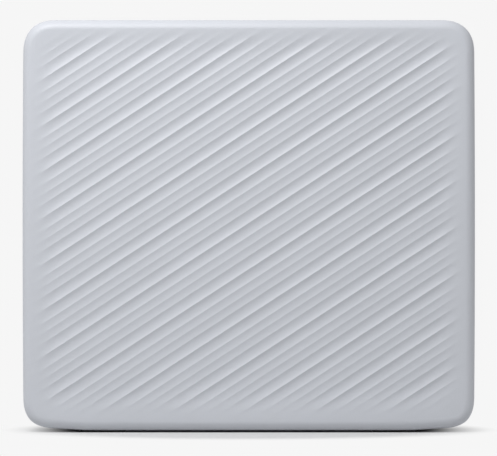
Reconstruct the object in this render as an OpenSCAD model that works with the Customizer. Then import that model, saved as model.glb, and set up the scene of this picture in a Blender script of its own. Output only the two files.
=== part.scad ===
/* [Casing] */
// Width of the casing
body_w = 139; // [137:0.5:146]
// Height of the casing above its feet
body_h = 126; // [125:0.5:132]
// Depth from the ribbed face to the film door
body_d = 33.7; // [33:0.1:38]
// Radius of the four corners seen from the front
corner_r = 9; // [7:0.5:11]
// Radius of the edge between a face and the sides
edge_r = 3; // [2.5:0.1:3.5]
// Thickness of the side walls
wall = 2; // [1.8:0.1:2.2]
// Thickness of the ribbed front wall
face_t = 2.2; // [2:0.1:2.6]
// Distance of the parting line behind the middle of the depth
split_y = 4; // [3.2:0.1:5]
// Height of the lip that locates the rear casing in the front one
lip_h = 1.4; // [0.8:0.1:2]
// Height that the rubber feet stand out
foot_h = 0.6; // [0.4:0.1:1]

/* [Ribbed face] */
// Slope of the ribs above the horizontal
rib_angle = 33; // [0:1:60]
// Width of the hollow flute on either side of a tall crest
wide_flute = 3.38; // [3:0.01:4]
// Width of the two hollow flutes between the wide ones
narrow_flute = 2.565; // [2:0.005:3]
// Radius of a flute's hollow
flute_r = 6.2; // [5:0.1:9]
// How much lower the lesser crests lie than the tall one
crest_drop = 0.06; // [0:0.01:0.1]
// Shift of the tall crests along their pitch, from the middle of the face
crest_shift = -0.76; // [-5:0.01:5]
// Bare margin between the edge of the face and the first trace of ribs
rib_margin = 4.6; // [4:0.1:8]
// Length over which the ribs fade in
rib_fade = 4.5; // [2:0.1:8]
// Depth that the fade reaches
rib_depth = 0.36; // [0.3:0.01:0.5]

/* [Film chamber] */
// Wall thickness of the chassis sides and floor
chassis_t = 1.4; // [1.2:0.1:1.6]
// Thickness of the chassis wall behind the front bay
bay_wall_t = 1.2; // [1:0.1:1.4]
// Depth of the bay that holds battery, board and motor
bay_d = 9.45; // [9.3:0.05:10]
// Height of the rails that carry the film pack
rail_h = 1; // [0.8:0.1:1.4]
// Space between the left casing wall and the chassis
side_gap = 3.6; // [3:0.1:4.4]
// Space between the gear plate and the right casing wall
plate_gap = 3.5; // [3.3:0.1:4.5]

/* [Film door] */
// Thickness of the door's outer skin
door_t = 2; // [1.8:0.1:2.2]
// Width of the casing's border beside the door
door_margin = 5; // [4.8:0.1:5.6]
// Height of the casing's border above the door
door_top = 5.6; // [5:0.1:6.5]
// Thickness of the door's inner liner
liner_t = 1.45; // [1.2:0.05:1.6]
// Radius of the hinge barrels
barrel_r = 2; // [1.8:0.1:2.1]
// Radius of the hinge pins
hinge_pin_r = 0.75; // [0.6:0.05:0.9]
// Travel of the door latch
latch_travel = 3; // [2.5:0.1:3.2]
// Reach of the latch tongue behind the casing
latch_bite = 1.6; // [1.2:0.1:2]

/* [Film transport] */
// Radius of both spreading rollers
roller_r = 3.95; // [3.8:0.05:4.1]
// Gap that the film passes between the rollers
nip = 0.2; // [0.15:0.05:0.3]
// Space between each end of a roller and the chamber's side wall
roller_margin = 2.5; // [2.2:0.1:3]
// Radius of the roller journals
journal_r = 1.5; // [1.3:0.05:1.7]
// Distance from the chamber's top to the roller axes
roller_up = 10.9; // [10.7:0.1:11.2]
// Distance of the roller axes below the roof
roller_drop = 9.6; // [9.4:0.1:11]
// Face width of every gear
gear_w = 2.5; // [2.2:0.1:2.6]
// Length of the film claw's stroke
claw_travel = 7; // [5:0.5:8]
// Width of the film exit's mouth, front to back
mouth_d = 4.8; // [4.6:0.1:5.2]

/* [Controls] */
// Radius of the power button
button_r = 5.2; // [4.5:0.1:5.6]
// Height of the power button's centre above the table
button_z = 46; // [40:1:52]
// Travel of the power button
button_travel = 0.8; // [0.5:0.1:0.9]
// Height of the charging socket's centre above the table
socket_z = 22; // [20:0.5:24]

/* [Hidden] */
$fn = 48;
fine = 24;         // facets of screws and other small rounds
clear = 0.3;       // gap between pieces that move or drop in
fit = 0.05;        // radial running clearance of shafts and pins
hold = 0.02;       // radial gap of shafts and pins that stay put
snug = 0.1;        // gap between pieces that are pushed together
root = 0.5;        // how far a boss is sunk into the wall that carries it

// ---- planes and places that the pieces share ----
y_front = -body_d/2;
y_back = body_d/2;
y_bay = y_front + face_t;
y_wall0 = y_bay + bay_d;
y_wall1 = y_wall0 + bay_wall_t;
y_door = y_back - door_t;
y_seat = y_door - clear;
ledge_t = 1.8;
y_ledge = y_seat - ledge_t;
y_rim = y_ledge - clear;
y_liner = y_door - liner_t;
z_low = foot_h;
z_high = foot_h + body_h;
z_mid = foot_h + body_h/2;
z_floor = z_low + wall;
z_roof = z_high - wall;
x_out = body_w/2;
x_in = x_out - wall;

// door and its hinge
hinge_drop = 1.6;
hinge_inset = barrel_r + 0.25;
hinge_y = y_back - hinge_inset;
hinge_z = z_low + 5.6;
sweep_r = norm([hinge_inset, hinge_drop]) + clear;
door_x = x_out - door_margin;
door_z0 = hinge_z - hinge_drop;
door_z1 = z_high - door_top;
sill_z = hinge_z - hinge_inset - clear;
ear_t = 3;
knuckle_x = [door_x - 17.7, door_x - 7.3];
pin_bore_x = [knuckle_x[0] - 6.8, knuckle_x[1] + 6.8];
ear_gap = clear;

// chassis and film chamber
chassis_x0 = -x_in + side_gap;
chamber_x0 = chassis_x0 + chassis_t;
gear_gap = 0.6;
layer = gear_w + clear;
plate_t = 1;
chassis_x1 = x_in - plate_gap - plate_t - snug - 3*layer - gear_gap;
chamber_x1 = chassis_x1 - chassis_t;
chamber_w = chamber_x1 - chamber_x0;
film_x = (chamber_x0 + chamber_x1)/2;
chassis_z0 = hinge_z + barrel_r + 0.2;
chamber_z0 = chassis_z0 + 1.2;
roller_z = z_roof - roller_drop;
chamber_z1 = roller_z - roller_up;
seat_z1 = chamber_z1 + 2.4;
cheek_z1 = roller_z + 6;
pad_t = 1.2;
y_pad = y_wall0 - pad_t;

// film path and rollers
film_y = y_wall1 + 1.6;
roller_len = chamber_w - 2*roller_margin;
roller_x0 = film_x - roller_len/2;
roller_x1 = film_x + roller_len/2;
roller_gap = 2*roller_r + nip;
drive_at = [film_y - roller_gap/2, roller_z];
press_at = [film_y + roller_gap/2, roller_z];
press_travel = 0.4;
frame_t = 1;
frame_x0 = chamber_x0 + snug;
frame_x1 = chamber_x1 - snug;
bush_r = journal_r + 1.1;
flange_t = 0.5;
frame_y0 = drive_at[0] - 4.5;
latch_room = 4.4;
frame_y1 = y_door - latch_room;
bridge_t = 0.8;
block_r = 2.3;

// gear train: three layers of gears between the chassis and the gear plate
mesh_gap = 0.1;
tooth_slack = 0.08;
drive_z = 16;
upper_small_z = 14;
upper_big_z = 30;
reduction_small_z = 12;
reduction_big_z = 36;
pinion_z = 10;
cam_z = 32;
tooth_m = (roller_gap - mesh_gap)/drive_z;
shaft_r = 0.75;
gear_x0 = chassis_x1 + gear_gap;
plate_x = gear_x0 + 3*layer + snug;
function polar(r, a) = r*[cos(a), sin(a)];
function apart(z1, z2) = tooth_m*(z1 + z2)/2 + mesh_gap;
function tip_r(z) = tooth_m*(z/2 + 0.8);
// Downward direction in which a centre lies that is d away and at the depth y
function aim(from, y, d) = -acos((y - from[0])/d);
// Each gear is placed by its depth: near the film, in the bay's middle, or clear of the rear wall
cam_y = y_ledge - tip_r(cam_z) - 2.6;
upper_aim = aim(drive_at, drive_at[0] + 1, apart(drive_z, upper_small_z));
upper_at = drive_at + polar(apart(drive_z, upper_small_z), upper_aim);
reduction_aim = aim(upper_at, film_y + 1.15, apart(upper_big_z, reduction_small_z));
reduction_at = upper_at + polar(apart(upper_big_z, reduction_small_z), reduction_aim);
motor_aim = aim(reduction_at, (y_bay + y_wall0)/2, apart(reduction_big_z, pinion_z));
motor_at = reduction_at + polar(apart(reduction_big_z, pinion_z), motor_aim);
cam_aim = aim(reduction_at, cam_y, apart(reduction_big_z, cam_z));
cam_at = reduction_at + polar(apart(reduction_big_z, cam_z), cam_aim);
// Turn that makes the teeth of gear 2 fall into the gaps of gear 1, seen along the direction a
function meshed(turn, z1, z2, a) = a + 180 + 180/z2 - (turn - a)*z1/z2;
pillars = [
    reduction_at + polar(tip_r(reduction_big_z) + 6.2, 52),
    reduction_at + polar(tip_r(reduction_big_z) + 3.9, -36),
    motor_at + polar(10.2, -101),
    drive_at + polar(6.9, 144)
];
pillar_r = 1.8;
motor_r = 6;
motor_flat = bay_d - 0.65;
motor_len = 21.4;
motor_x1 = chamber_x1 - snug;
motor_x0 = motor_x1 - motor_len;
cap_t = 3;

// film claw
claw_x = chassis_x1 + 0.2;
claw_y = y_wall1 + 0.4;
claw_w = 2.2;
claw_t = 0.8;
claw_z0 = chamber_z0 + 1.4;
lobe_r = 3;
lobe_off = 2;
tab_z = cam_at[1] + lobe_r + lobe_off + clear;
claw_spring_y = claw_y + 7;
claw_post_z = cam_at[1] - 34.9;
claw_spring_l = 20;

// electronics
board_t = 1;
board_y = y_wall0 - 3.2;
board_h = 39.6;
board_x = [-x_in + 1, chassis_x1 - 13.9];
board_z = [chassis_z0 + 2, chassis_z0 + 2 + board_h];
// A place on the board: a share of its length and a height above its foot
function spot(share, z) = [board_x[0] + share*(board_x[1] - board_x[0]), board_z[0] + z];
post_at = [[board_x[0] + 4.5, board_z[1] - 4], [board_x[1] - 4.5, board_z[1] - 4],
           [board_x[0] + 4.5, board_z[0] + 4], [board_x[1] - 4.5, board_z[0] + 4]];
head_z1 = roller_z - roller_r - 0.7;
head_z0 = head_z1 - 7.8;
slit_z = head_z1 - 1.9;
slit_h = 1.6;
wall_z1 = slit_z + slit_h/2 + 1;
lug_z = head_z0 - 1.9;
cell_x = [-x_in + 6.5, motor_x0 - 20];
cell_y = [y_wall0 - 5.7, y_wall0 - snug];
cell_z = [board_z[1] + 5.6, lug_z - 3.05];
lead_x = [cell_x[1] - 9, cell_x[1] - 6.5];
flex_x = [cell_x[1] + 2, cell_x[1] + 10];
chassis_screw_at = [[cell_x[0] + 5, board_z[1] + 2.8], [board_x[1] - 4, board_z[1] + 2.8],
                    [chassis_x1 - 7.9, board_z[1] + 16],
                    [cell_x[0] + 31, (cell_z[1] + head_z0)/2], [flex_x[1] + 2.6, (cell_z[1] + head_z0)/2]];

// controls
button_y = y_wall0 - 1.2;
ring_r = button_r + 1.4;
plinth_x = [chassis_x1 + 4, chassis_x1 + 5.2];
control_x = plinth_x[1] + snug;
switch_y = y_ledge - 8.3;
side_y = board_y + 1.25;
reset_z = socket_z + 9;
light_z = socket_z + 16;

// casing screws: bottom pair, one beside the gears and the top pair into the roller frame
low_screw_x = knuckle_x[0] - 7.8;
side_screw_at = [x_in - 7, (button_z + 6 + cam_at[1] - tip_r(cam_z))/2];
top_screw_x = [film_x - 36, film_x + 36];
top_screw_z = roller_z - 1.6;
latch_x = 18;

// ---- helpers ----
// A box from its low and high limits
module block(x, y, z) {
    translate([x[0], y[0], z[0]]) cube([x[1] - x[0], y[1] - y[0], z[1] - z[0]]);
}
// Round rods along each axis
module rod_x(x, at, r) {
    translate([x[0], at[0], at[1]]) rotate([0, 90, 0]) cylinder(r = r, h = x[1] - x[0]);
}
module rod_y(y, at, r) {
    translate([at[0], y[0], at[1]]) rotate([-90, 0, 0]) cylinder(r = r, h = y[1] - y[0]);
}
module rod_z(z, at, r) {
    translate([at[0], at[1], z[0]]) cylinder(r = r, h = z[1] - z[0]);
}
// Drawing frame of the faces: x right, y up and z towards the viewer of the ribbed face
module upright() {
    translate([0, 0, z_mid]) rotate([90, 0, 0]) children();
}
// A flat shape drawn in x and z, filled from y[0] to y[1]
module slab_y(y) {
    translate([0, y[1], 0]) rotate([90, 0, 0]) linear_extrude(y[1] - y[0]) children();
}
// A flat shape drawn in y and z, filled from x[0] to x[1]
module slab_x(x) {
    translate([x[0], 0, 0]) rotate([90, 0, 90]) linear_extrude(x[1] - x[0]) children();
}
// Rounded rectangle about the origin
module rounded(w, h, r) {
    square([w, h - 2*r], center = true);
    square([w - 2*r, h], center = true);
    for (x = [-1, 1], y = [-1, 1])
        translate([x*(w/2 - r), y*(h/2 - r)]) circle(r);
}
// Sweeps a profile, drawn from x = 0 out to x = r, round a rectangle with corners of radius r
module rim_sweep(w, h, r) {
    for (q = [0:3]) rotate(90*q) {
        along = q % 2 == 0 ? h - 2*r : w - 2*r;
        out = q % 2 == 0 ? w/2 - r : h/2 - r;
        translate([out, along/2, 0]) rotate([90, 0, 0]) linear_extrude(along) children();
        translate([out, along/2, 0]) rotate_extrude(angle = 90) children();
    }
}
// A block from z0 to z1 with corners of radius r and its upper edge rounded by e
module soft_block(w, h, r, e, z0, z1) {
    translate([0, 0, z0]) linear_extrude(z1 - z0) square([w - 2*r, h - 2*r], center = true);
    rim_sweep(w, h, r) difference() {
        translate([0, z0]) square([r, z1 - z0]);
        translate([r - e, z1 - e]) difference() {
            square(e + 1);
            circle(e);
        }
    }
}
// A screw that points down, its head's underside at z = 0, with a cross recess
module screw(r, length, head_r, head_h) {
    $fn = fine;
    difference() {
        union() {
            cylinder(r = head_r, h = head_h);
            translate([0, 0, -length]) cylinder(r = r, h = length);
        }
        for (a = [0, 90]) rotate(a)
            translate([-head_r*0.6, -head_r*0.14, head_h/2])
                cube([head_r*1.2, head_r*0.28, head_h]);
    }
}
// Screws that point forwards or backwards, and to either side
module screw_to_front(at, y, r, length, head_r, head_h) {
    translate([at[0], y, at[1]]) rotate([-90, 0, 0]) screw(r, length, head_r, head_h);
}
module screw_to_back(at, y, r, length, head_r, head_h) {
    translate([at[0], y, at[1]]) rotate([90, 0, 0]) screw(r, length, head_r, head_h);
}
module screw_to_left(x, at, r, length, head_r, head_h) {
    translate([x, at[0], at[1]]) rotate([0, 90, 0]) screw(r, length, head_r, head_h);
}
module screw_to_right(x, at, r, length, head_r, head_h) {
    translate([x, at[0], at[1]]) rotate([0, -90, 0]) screw(r, length, head_r, head_h);
}
// A coil spring that stands on z = 0: one unbroken tube of five sides
module coil(r, wire, turns, length) {
    steps = turns*10;
    sides = 5;
    points = [for (i = [0:steps], j = [0:sides - 1])
        let (a = 36*i, ring = r + wire*cos(360*j/sides))
        [ring*cos(a), ring*sin(a), wire + (length - 2*wire)*i/steps + wire*sin(360*j/sides)]];
    skin = [for (i = [0:steps - 1], j = [0:sides - 1])
        let (k = (j + 1) % sides)
        each [[i*sides + j, i*sides + k, (i + 1)*sides + k],
              [i*sides + j, (i + 1)*sides + k, (i + 1)*sides + j]]];
    ends = [[for (j = [sides - 1:-1:0]) j], [for (j = [0:sides - 1]) steps*sides + j]];
    polyhedron(points, concat(skin, ends), convexity = 8);
}

// ---- gear teeth ----
function involute(a) = tan(a)*180/PI - a;
function base_r(z) = tooth_m*z/2*cos(20);
// Half the angle that a tooth takes up at radius r
function half_tooth(z, r) = 90/z - tooth_slack/(tooth_m*z)*180/PI
    + involute(20) - involute(acos(min(1, base_r(z)/r)));
function flank(z) = let (low = max(tooth_m*(z/2 - 1), base_r(z)), high = tip_r(z))
    [for (t = [0, 0.34, 0.67, 1]) low + (high - low)*t];
function tooth(z) = let (rs = flank(z), foot = tooth_m*(z/2 - 1), w = half_tooth(z, rs[0])) concat(
    [polar(foot, -w - 10/z)],
    [for (r = rs) polar(r, -half_tooth(z, r))],
    [for (i = [3:-1:0]) polar(rs[i], half_tooth(z, rs[i]))],
    [polar(foot, w + 10/z)]);
module toothed(z, turn) {
    polygon([for (k = [0:z - 1], p = tooth(z))
        let (a = turn + 360*k/z) [p[0]*cos(a) - p[1]*sin(a), p[0]*sin(a) + p[1]*cos(a)]]);
}
// A gear in one of the three layers, drawn about its own centre
module gear(i, at, z, turn) {
    slab_x([gear_x0 + i*layer, gear_x0 + i*layer + gear_w]) translate(at) toothed(z, turn);
}

// ---- ribbed face ----
pitch = 2*wide_flute + 2*narrow_flute;
crest_at = [0, wide_flute, wide_flute + narrow_flute, pitch - wide_flute, pitch];
function crest(i) = [crest_at[i], i % 4 == 0 ? 0 : -crest_drop];
// Centre of the hollow between two crests
function hollow(a, b) = let (d = b - a, reach = sqrt(flute_r*flute_r - d*d/4))
    (a + b)/2 + reach/norm(d)*[-d[1], d[0]];
// Section across the ribs: depth as y, the face at y = 0
module flute_section(reach) {
    count = ceil(reach/pitch);
    intersection() {
        translate([-reach, -rib_depth - 0.1]) square([2*reach, rib_depth + 0.6]);
        union() for (n = [-count:count], i = [0:3])
            translate([n*pitch, 0] + hollow(crest(i), crest(i + 1))) circle(flute_r);
    }
}
// What is cut from the face to leave the ribs; its sloping rim lets them fade in
module flutes() {
    reach = norm([body_w, body_h])/2;
    side = rib_margin + rib_fade;
    w = body_w - 2*rib_margin;
    h = body_h - 2*rib_margin;
    intersection() {
        rotate(rib_angle) translate([0, -crest_shift, y_back]) rotate([90, 0, 90])
            translate([0, 0, -reach]) linear_extrude(2*reach) mirror([1, 0]) flute_section(reach);
        union() {
            translate([0, 0, y_back - rib_depth]) linear_extrude(rib_depth + 0.4)
                square([w - 2*side, h - 2*side], center = true);
            rim_sweep(w, h, side) polygon([
                [0, y_back + 0.4], [0, y_back - rib_depth], [side - rib_fade, y_back - rib_depth],
                [side, y_back], [side, y_back + 0.4]]);
        }
    }
}

// ---- casing ----
shell_grey = [0.78, 0.79, 0.82];
module outer_half(z0) {
    soft_block(body_w, body_h, corner_r, edge_r, z0, y_back);
}
module inner_half(z0, z1) {
    soft_block(body_w - 2*wall, body_h - 2*wall, corner_r - wall, edge_r - wall, z0, z1);
}
bezel_w = roller_len + 4.4;
bezel_y = [film_y - mouth_d/2 - 1, film_y + mouth_d/2 + 1];
module front_shell() color(shell_grey) difference() {
    union() {
        difference() {
            upright() outer_half(-split_y);
            upright() inner_half(-split_y - 1, -y_bay);
            upright() translate([0, 0, -split_y - 1]) linear_extrude(1 + lip_h + snug)
                rounded(body_w - wall, body_h - wall, corner_r - wall/2);
            upright() flutes();
        }
        for (at = chassis_screw_at) rod_y([y_bay - root, y_pad - hold], at, 2.2);
        for (at = post_at) rod_y([y_bay - root, board_y - board_t], at, 2);
        for (x = [-low_screw_x, low_screw_x]) {
            rod_y([y_bay - root, y_ledge - 2.9], [x, hinge_z], 2);
            block([x - 0.6, x + 0.6], [y_bay - root, split_y - lip_h - 1], [z_floor - root, hinge_z - 1]);
        }
        rod_y([y_bay - root, 2], side_screw_at, 2.4);
    }
    for (at = chassis_screw_at) rod_y([y_bay, y_pad], at, 0.85 + hold, $fn = fine);
    for (at = post_at) rod_y([y_bay, board_y], at, 0.7 + hold, $fn = fine);
    for (x = [-low_screw_x, low_screw_x]) rod_y([0, y_ledge], [x, hinge_z], 0.85 + hold, $fn = fine);
    rod_y([-8, 3], side_screw_at, 0.85 + hold, $fn = fine);
    rod_x([x_in - 1, x_out + 1], [button_y, button_z], ring_r + hold);
    block([-x_out - 1, -x_in + 1], [side_y - 1.9, side_y + 1.9], [socket_z - 4.5, socket_z + 4.5]);
    rod_x([-x_out - 1, -x_in + 1], [side_y, reset_z], 1 + snug, $fn = fine);
    rod_x([-x_out - 1, -x_in + 1], [side_y, light_z], 0.9 + hold, $fn = fine);
    block([film_x - bezel_w/2 - snug, film_x + bezel_w/2 + snug],
          [bezel_y[0] - snug, bezel_y[1] + snug], [z_roof - 1, z_high + 1]);
    feet_pockets();
}

foot_w = 14;
foot_l = 7;
foot_x = x_out - 24.5;
foot_y = [y_front + 8, split_y + 5.4];
foot_sunk = 0.5;
module feet(grow, z) {
    for (x = [-foot_x, foot_x], y = foot_y)
        translate([x, y, z[0]]) linear_extrude(z[1] - z[0])
            rounded(foot_w + 2*grow, foot_l + 2*grow, 2 + grow);
}
module feet_pockets() {
    feet(snug, [z_low - 1, z_low + foot_sunk]);
}
module rubber_feet() color([0.2, 0.2, 0.21]) feet(0, [0, z_low + foot_sunk - hold]);

// Outline of the door, or of the opening around it when grown
module door_outline(grow, z0) {
    w = 2*(door_x + grow);
    h = door_z1 + grow - z0;
    r = corner_r - 4.5 + grow;
    translate([0, z0 + h/2]) rounded(w, h, r);
    translate([0, z0 + h/4]) rounded(w, h/2, 1);
}
module ears(grow) {
    for (s = [-1, 1], x = [knuckle_x[0] - ear_gap - ear_t, knuckle_x[1] + ear_gap]) {
        a = s > 0 ? x : -x - ear_t;
        rod_x([a - grow, a + ear_t + grow], [hinge_y, hinge_z], barrel_r + grow);
        block([a - grow, a + ear_t + grow], [hinge_y - barrel_r, hinge_y + barrel_r],
              [z_floor - root, hinge_z]);
    }
}
module rear_shell() color(shell_grey) difference() {
    union() {
        difference() {
            union() {
                upright() mirror([0, 0, 1]) outer_half(split_y);
                upright() translate([0, 0, -split_y - 1]) linear_extrude(1 + lip_h) difference() {
                    rounded(body_w - wall - 2*snug, body_h - wall - 2*snug, corner_r - wall/2 - snug);
                    rounded(body_w - 2*wall, body_h - 2*wall, corner_r - wall);
                }
            }
            difference() {
                upright() mirror([0, 0, 1]) inner_half(split_y - 1, y_ledge);
                rod_y([2 + hold, y_back], side_screw_at, 2.4);
                for (x = top_screw_x) rod_y([frame_y1 + hold, y_back], [x, top_screw_z], 2.2);
                block([-door_x + 4, door_x - 4], [y_ledge - 2.9 + hold, y_ledge - 1.6],
                      [z_low, hinge_z + barrel_r + 0.1]);
            }
            slab_y([y_seat, y_back + 1]) door_outline(clear, sill_z);
            block([-door_x - clear, door_x + clear], [y_ledge - 1, y_back + 1], [sill_z, hinge_z + sweep_r]);
            block([chamber_x0, chamber_x1], [y_ledge - 1, y_back], [hinge_z, seat_z1]);
            block([-latch_x, latch_x], [y_ledge - 1, y_back - 1], [hinge_z, door_z1 + clear]);
            block([-6.5, 6.5], [y_ledge, y_door - 0.15], [door_z1, door_z1 + latch_bite + 0.7]);
            rod_x([-door_x - clear, door_x + clear], [hinge_y, hinge_z], sweep_r);
            for (x = top_screw_x) rod_y([y_seat - 1.2, y_back], [x, top_screw_z], 1.7);
            rod_y([8, y_back], side_screw_at, 1.7);
            rod_y([y_ledge - 1, y_back], [control_x + 2.6, button_z - 3], 1 + clear, $fn = fine);
        }
        ears(0);
    }
    for (s = [-1, 1]) rod_x(s > 0 ? pin_bore_x : [-pin_bore_x[1], -pin_bore_x[0]],
                            [hinge_y, hinge_z], hinge_pin_r + hold, $fn = fine);
    for (x = [-low_screw_x, low_screw_x]) rod_y([y_ledge - 4, y_ledge], [x, hinge_z], 0.95, $fn = fine);
    for (x = top_screw_x) rod_y([frame_y1 - 1, y_back], [x, top_screw_z], 0.95, $fn = fine);
    rod_y([1, y_back], side_screw_at, 0.95, $fn = fine);
    feet_pockets();
}

module casing_screws() color([0.3, 0.3, 0.31]) {
    for (x = [-low_screw_x, low_screw_x])
        screw_to_front([x, hinge_z], y_ledge - 1.6 + hold, 0.85, 8, 1.5, 1);
    for (x = top_screw_x) screw_to_front([x, top_screw_z], y_seat - 1.2 + hold, 0.85, 4.2, 1.5, 1);
    screw_to_front(side_screw_at, 8 + hold, 0.85, 8, 1.5, 1);
}

// Dark funnel in the roof that the print leaves through
module exit_bezel() color([0.13, 0.13, 0.14]) difference() {
    union() {
        block([film_x - bezel_w/2, film_x + bezel_w/2], bezel_y, [z_roof - 3, z_high - 0.2]);
        block([film_x - bezel_w/2 + 2.4, film_x + bezel_w/2 - 2.4], [bezel_y[0] - 1.4, bezel_y[1] + 1.4],
              [z_roof - 1.2, z_roof - hold]);
    }
    block([film_x - bezel_w/2 + 1.2, film_x + bezel_w/2 - 1.2],
          [film_y - mouth_d/2, film_y + mouth_d/2], [z_roof - 4, z_high + 1]);
    for (s = [-1, 1]) rod_x(flap_pin(s, 0.1), flap_at, 0.5 + fit, $fn = fine);
}
flap_at = [film_y + mouth_d/2 - 0.95, z_roof - 2.1];
flap_x = bezel_w/2 - 1.2 - clear;
function flap_pin(s, extra) = s > 0
    ? [film_x + flap_x - 1, film_x + bezel_w/2 - 0.3 + extra]
    : [film_x - bezel_w/2 + 0.3 - extra, film_x - flap_x + 1];
module exit_flap() color([0.16, 0.16, 0.17]) {
    block([film_x - flap_x, film_x + flap_x], [film_y - mouth_d/2 + clear, flap_at[0]],
          [flap_at[1] - 0.35, flap_at[1] + 0.35]);
    rod_x([film_x - flap_x, film_x + flap_x], flap_at, 0.65, $fn = fine);
    for (s = [-1, 1]) rod_x(flap_pin(s, 0), flap_at, 0.5, $fn = fine);
}

// ---- film door ----
liner_x = [chamber_x0 + 0.7, chamber_x1 - 0.7];
liner_z = [hinge_z + 4.8, chamber_z1 - 0.6];
knob_z = [door_z1 - 11.7, door_z1 - 3.3];
window_z = [knob_z[0] - latch_travel - clear, knob_z[1] + clear];
knob_x = 10.7;
liner_screws = [for (x = [liner_x[0] + 6, liner_x[1] - 6], z = [liner_z[0] + 8, liner_z[1] - 6]) [x, z]];
cover_screws = [for (x = [-15.2, 15.2]) [x, (knob_z[0] + knob_z[1])/2]];
module film_door() color(shell_grey) difference() {
    union() {
        slab_y([y_door, y_back]) door_outline(0, door_z0);
        for (s = [-1, 1])
            rod_x(s > 0 ? knuckle_x : [-knuckle_x[1], -knuckle_x[0]], [hinge_y, hinge_z], barrel_r);
    }
    intersection() {
        ears(clear);
        block([-x_out, x_out], [0, y_back], [0, hinge_z + barrel_r + clear]);
    }
    for (s = [-1, 1], x = [knuckle_x[0] - ear_gap - ear_t, knuckle_x[1] + ear_gap]) {
        a = s > 0 ? x : -x - ear_t;
        block([a - clear, a + ear_t + clear], [y_door - 1, y_back + 1], [0, hinge_z + barrel_r + 0.35]);
    }
    rod_x([-pin_bore_x[1], pin_bore_x[1]], [hinge_y, hinge_z], hinge_pin_r + fit, $fn = fine);
    block([-knob_x - clear, knob_x + clear], [y_door - 1, y_back + 1], window_z);
    for (at = concat(liner_screws, cover_screws)) rod_y([y_door - 1, y_door + 1.4], at, 0.7 + hold, $fn = fine);
    slab_y([y_back - 0.3, y_back + 1]) difference() {
        translate([0, (door_z0 + door_z1)/2]) square([2*door_x + 2, door_z1 - door_z0 + 2], center = true);
        door_outline(-0.3, door_z0 + 0.3);
    }
}
module hinge_pins() color([0.7, 0.7, 0.72]) {
    for (s = [-1, 1]) {
        x = [knuckle_x[0] - ear_gap - ear_t + 0.2, knuckle_x[1] + ear_gap + ear_t - 0.2];
        rod_x(s > 0 ? x : [-x[1], -x[0]], [hinge_y, hinge_z], hinge_pin_r, $fn = fine);
    }
}
module door_liner() color([0.1, 0.1, 0.11]) difference() {
    block(liner_x, [y_liner, y_door - hold], liner_z);
    for (x = spring_x) block([x - 7, x + 7], [y_liner - 1, y_liner + 0.7], spring_z);
    for (at = liner_screws) {
        rod_y([y_liner - 1, y_liner + 0.7], at, 1.5, $fn = fine);
        rod_y([y_liner - 1, y_door], at, 0.8, $fn = fine);
    }
}
spring_x = [film_x - 30, film_x + 30];
spring_z = [liner_z[0] + 19, liner_z[1] - 17.5];
spring_half = (spring_z[1] - spring_z[0])/2 - 0.5;
spring_rise = 1.46;
spring_t = 0.25;
bow_r = (spring_half*spring_half + spring_rise*spring_rise)/(2*spring_rise);
// Bowed leaves that press the film pack forward
module pack_springs() color([0.75, 0.75, 0.77]) {
    mid = (spring_z[0] + spring_z[1])/2;
    for (x = spring_x) slab_x([x - 5, x + 5]) intersection() {
        translate([y_liner + bow_r - 1, mid]) difference() {
            circle(bow_r, $fn = 360);
            circle(bow_r - spring_t, $fn = 360);
        }
        translate([y_liner - 3, mid - spring_half]) square([3.69, 2*spring_half]);
    }
}
flange_y = [y_door - 1.85, y_door - 0.25];
flange_z = [knob_z[0] - 0.3, door_z1 - 1.5];
module door_latch() color(shell_grey) difference() {
    union() {
        block([-13, 13], flange_y, flange_z);
        block([-knob_x, knob_x], [flange_y[1] - 0.5, y_back - 0.25], knob_z);
        block([-6, 6], [flange_y[0], flange_y[1] - 0.2], [flange_z[0], door_z1 + clear + latch_bite]);
    }
    for (i = [0:4]) block([-knob_x + 1.5, knob_x - 1.5], [y_back - 0.65, y_back],
                          [knob_z[0] + 1.2 + 1.4*i, knob_z[0] + 1.8 + 1.4*i]);
    for (x = [-9.5, 9.5]) block([x - 0.9, x + 0.9], [flange_y[0] - 1, flange_y[1] - 0.2],
                                [flange_z[0] - 1, flange_z[0] + 7.5]);
}
cover_y = [flange_y[0] - 1.3, flange_y[0] - 0.1];
cover_z = [flange_z[0] - latch_travel - 1.2, door_z1 - 0.5];
module latch_cover() color([0.12, 0.12, 0.13]) difference() {
    union() {
        block([-17, 17], cover_y, cover_z);
        for (s = [-1, 1]) block(s > 0 ? [13.2, 17] : [-17, -13.2], [cover_y[0], y_door - hold], cover_z);
        block([-17, 17], [cover_y[0], y_door - hold], [cover_z[0], cover_z[0] + 1.1]);
    }
    for (at = cover_screws) {
        rod_y([cover_y[0] - 1, y_door], at, 0.8, $fn = fine);
        rod_y([cover_y[0] - 1, cover_y[0] + 0.7], at, 1.5, $fn = fine);
    }
}
module latch_springs() color([0.75, 0.75, 0.77]) {
    for (x = [-9.5, 9.5])
        translate([x, (flange_y[0] + flange_y[1])/2 - 0.1, cover_z[0] + 1.1 + hold])
            coil(0.5, 0.12, 8, flange_z[0] + 7.5 - cover_z[0] - 1.1 - 2*hold);
}
module door_screws() color([0.3, 0.3, 0.31]) {
    for (at = liner_screws) screw_to_back(at, y_liner + 0.7 - hold, 0.7, 1.9, 1.3, 0.6);
    for (at = cover_screws) screw_to_back(at, cover_y[0] + 0.7 - hold, 0.7, 3, 1.3, 0.6);
}
// Thin felt that closes the gap round the door
module light_seal() color([0.08, 0.08, 0.08]) {
    y = [y_seat + hold, y_door - hold];
    z = [hinge_z + sweep_r + 1.5, seat_z1 + 5.5];
    block([-door_x + 0.3, chamber_x0 - 0.3], y, z);
    block([chamber_x1 + 0.3, chamber_x1 + 2.8], y, z);
    for (x = [[chamber_x0 + 1, -latch_x - 1], [latch_x + 1, chamber_x1 - 1]])
        block(x, y, [seat_z1 + 0.3, seat_z1 + 2.3]);
}

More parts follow.
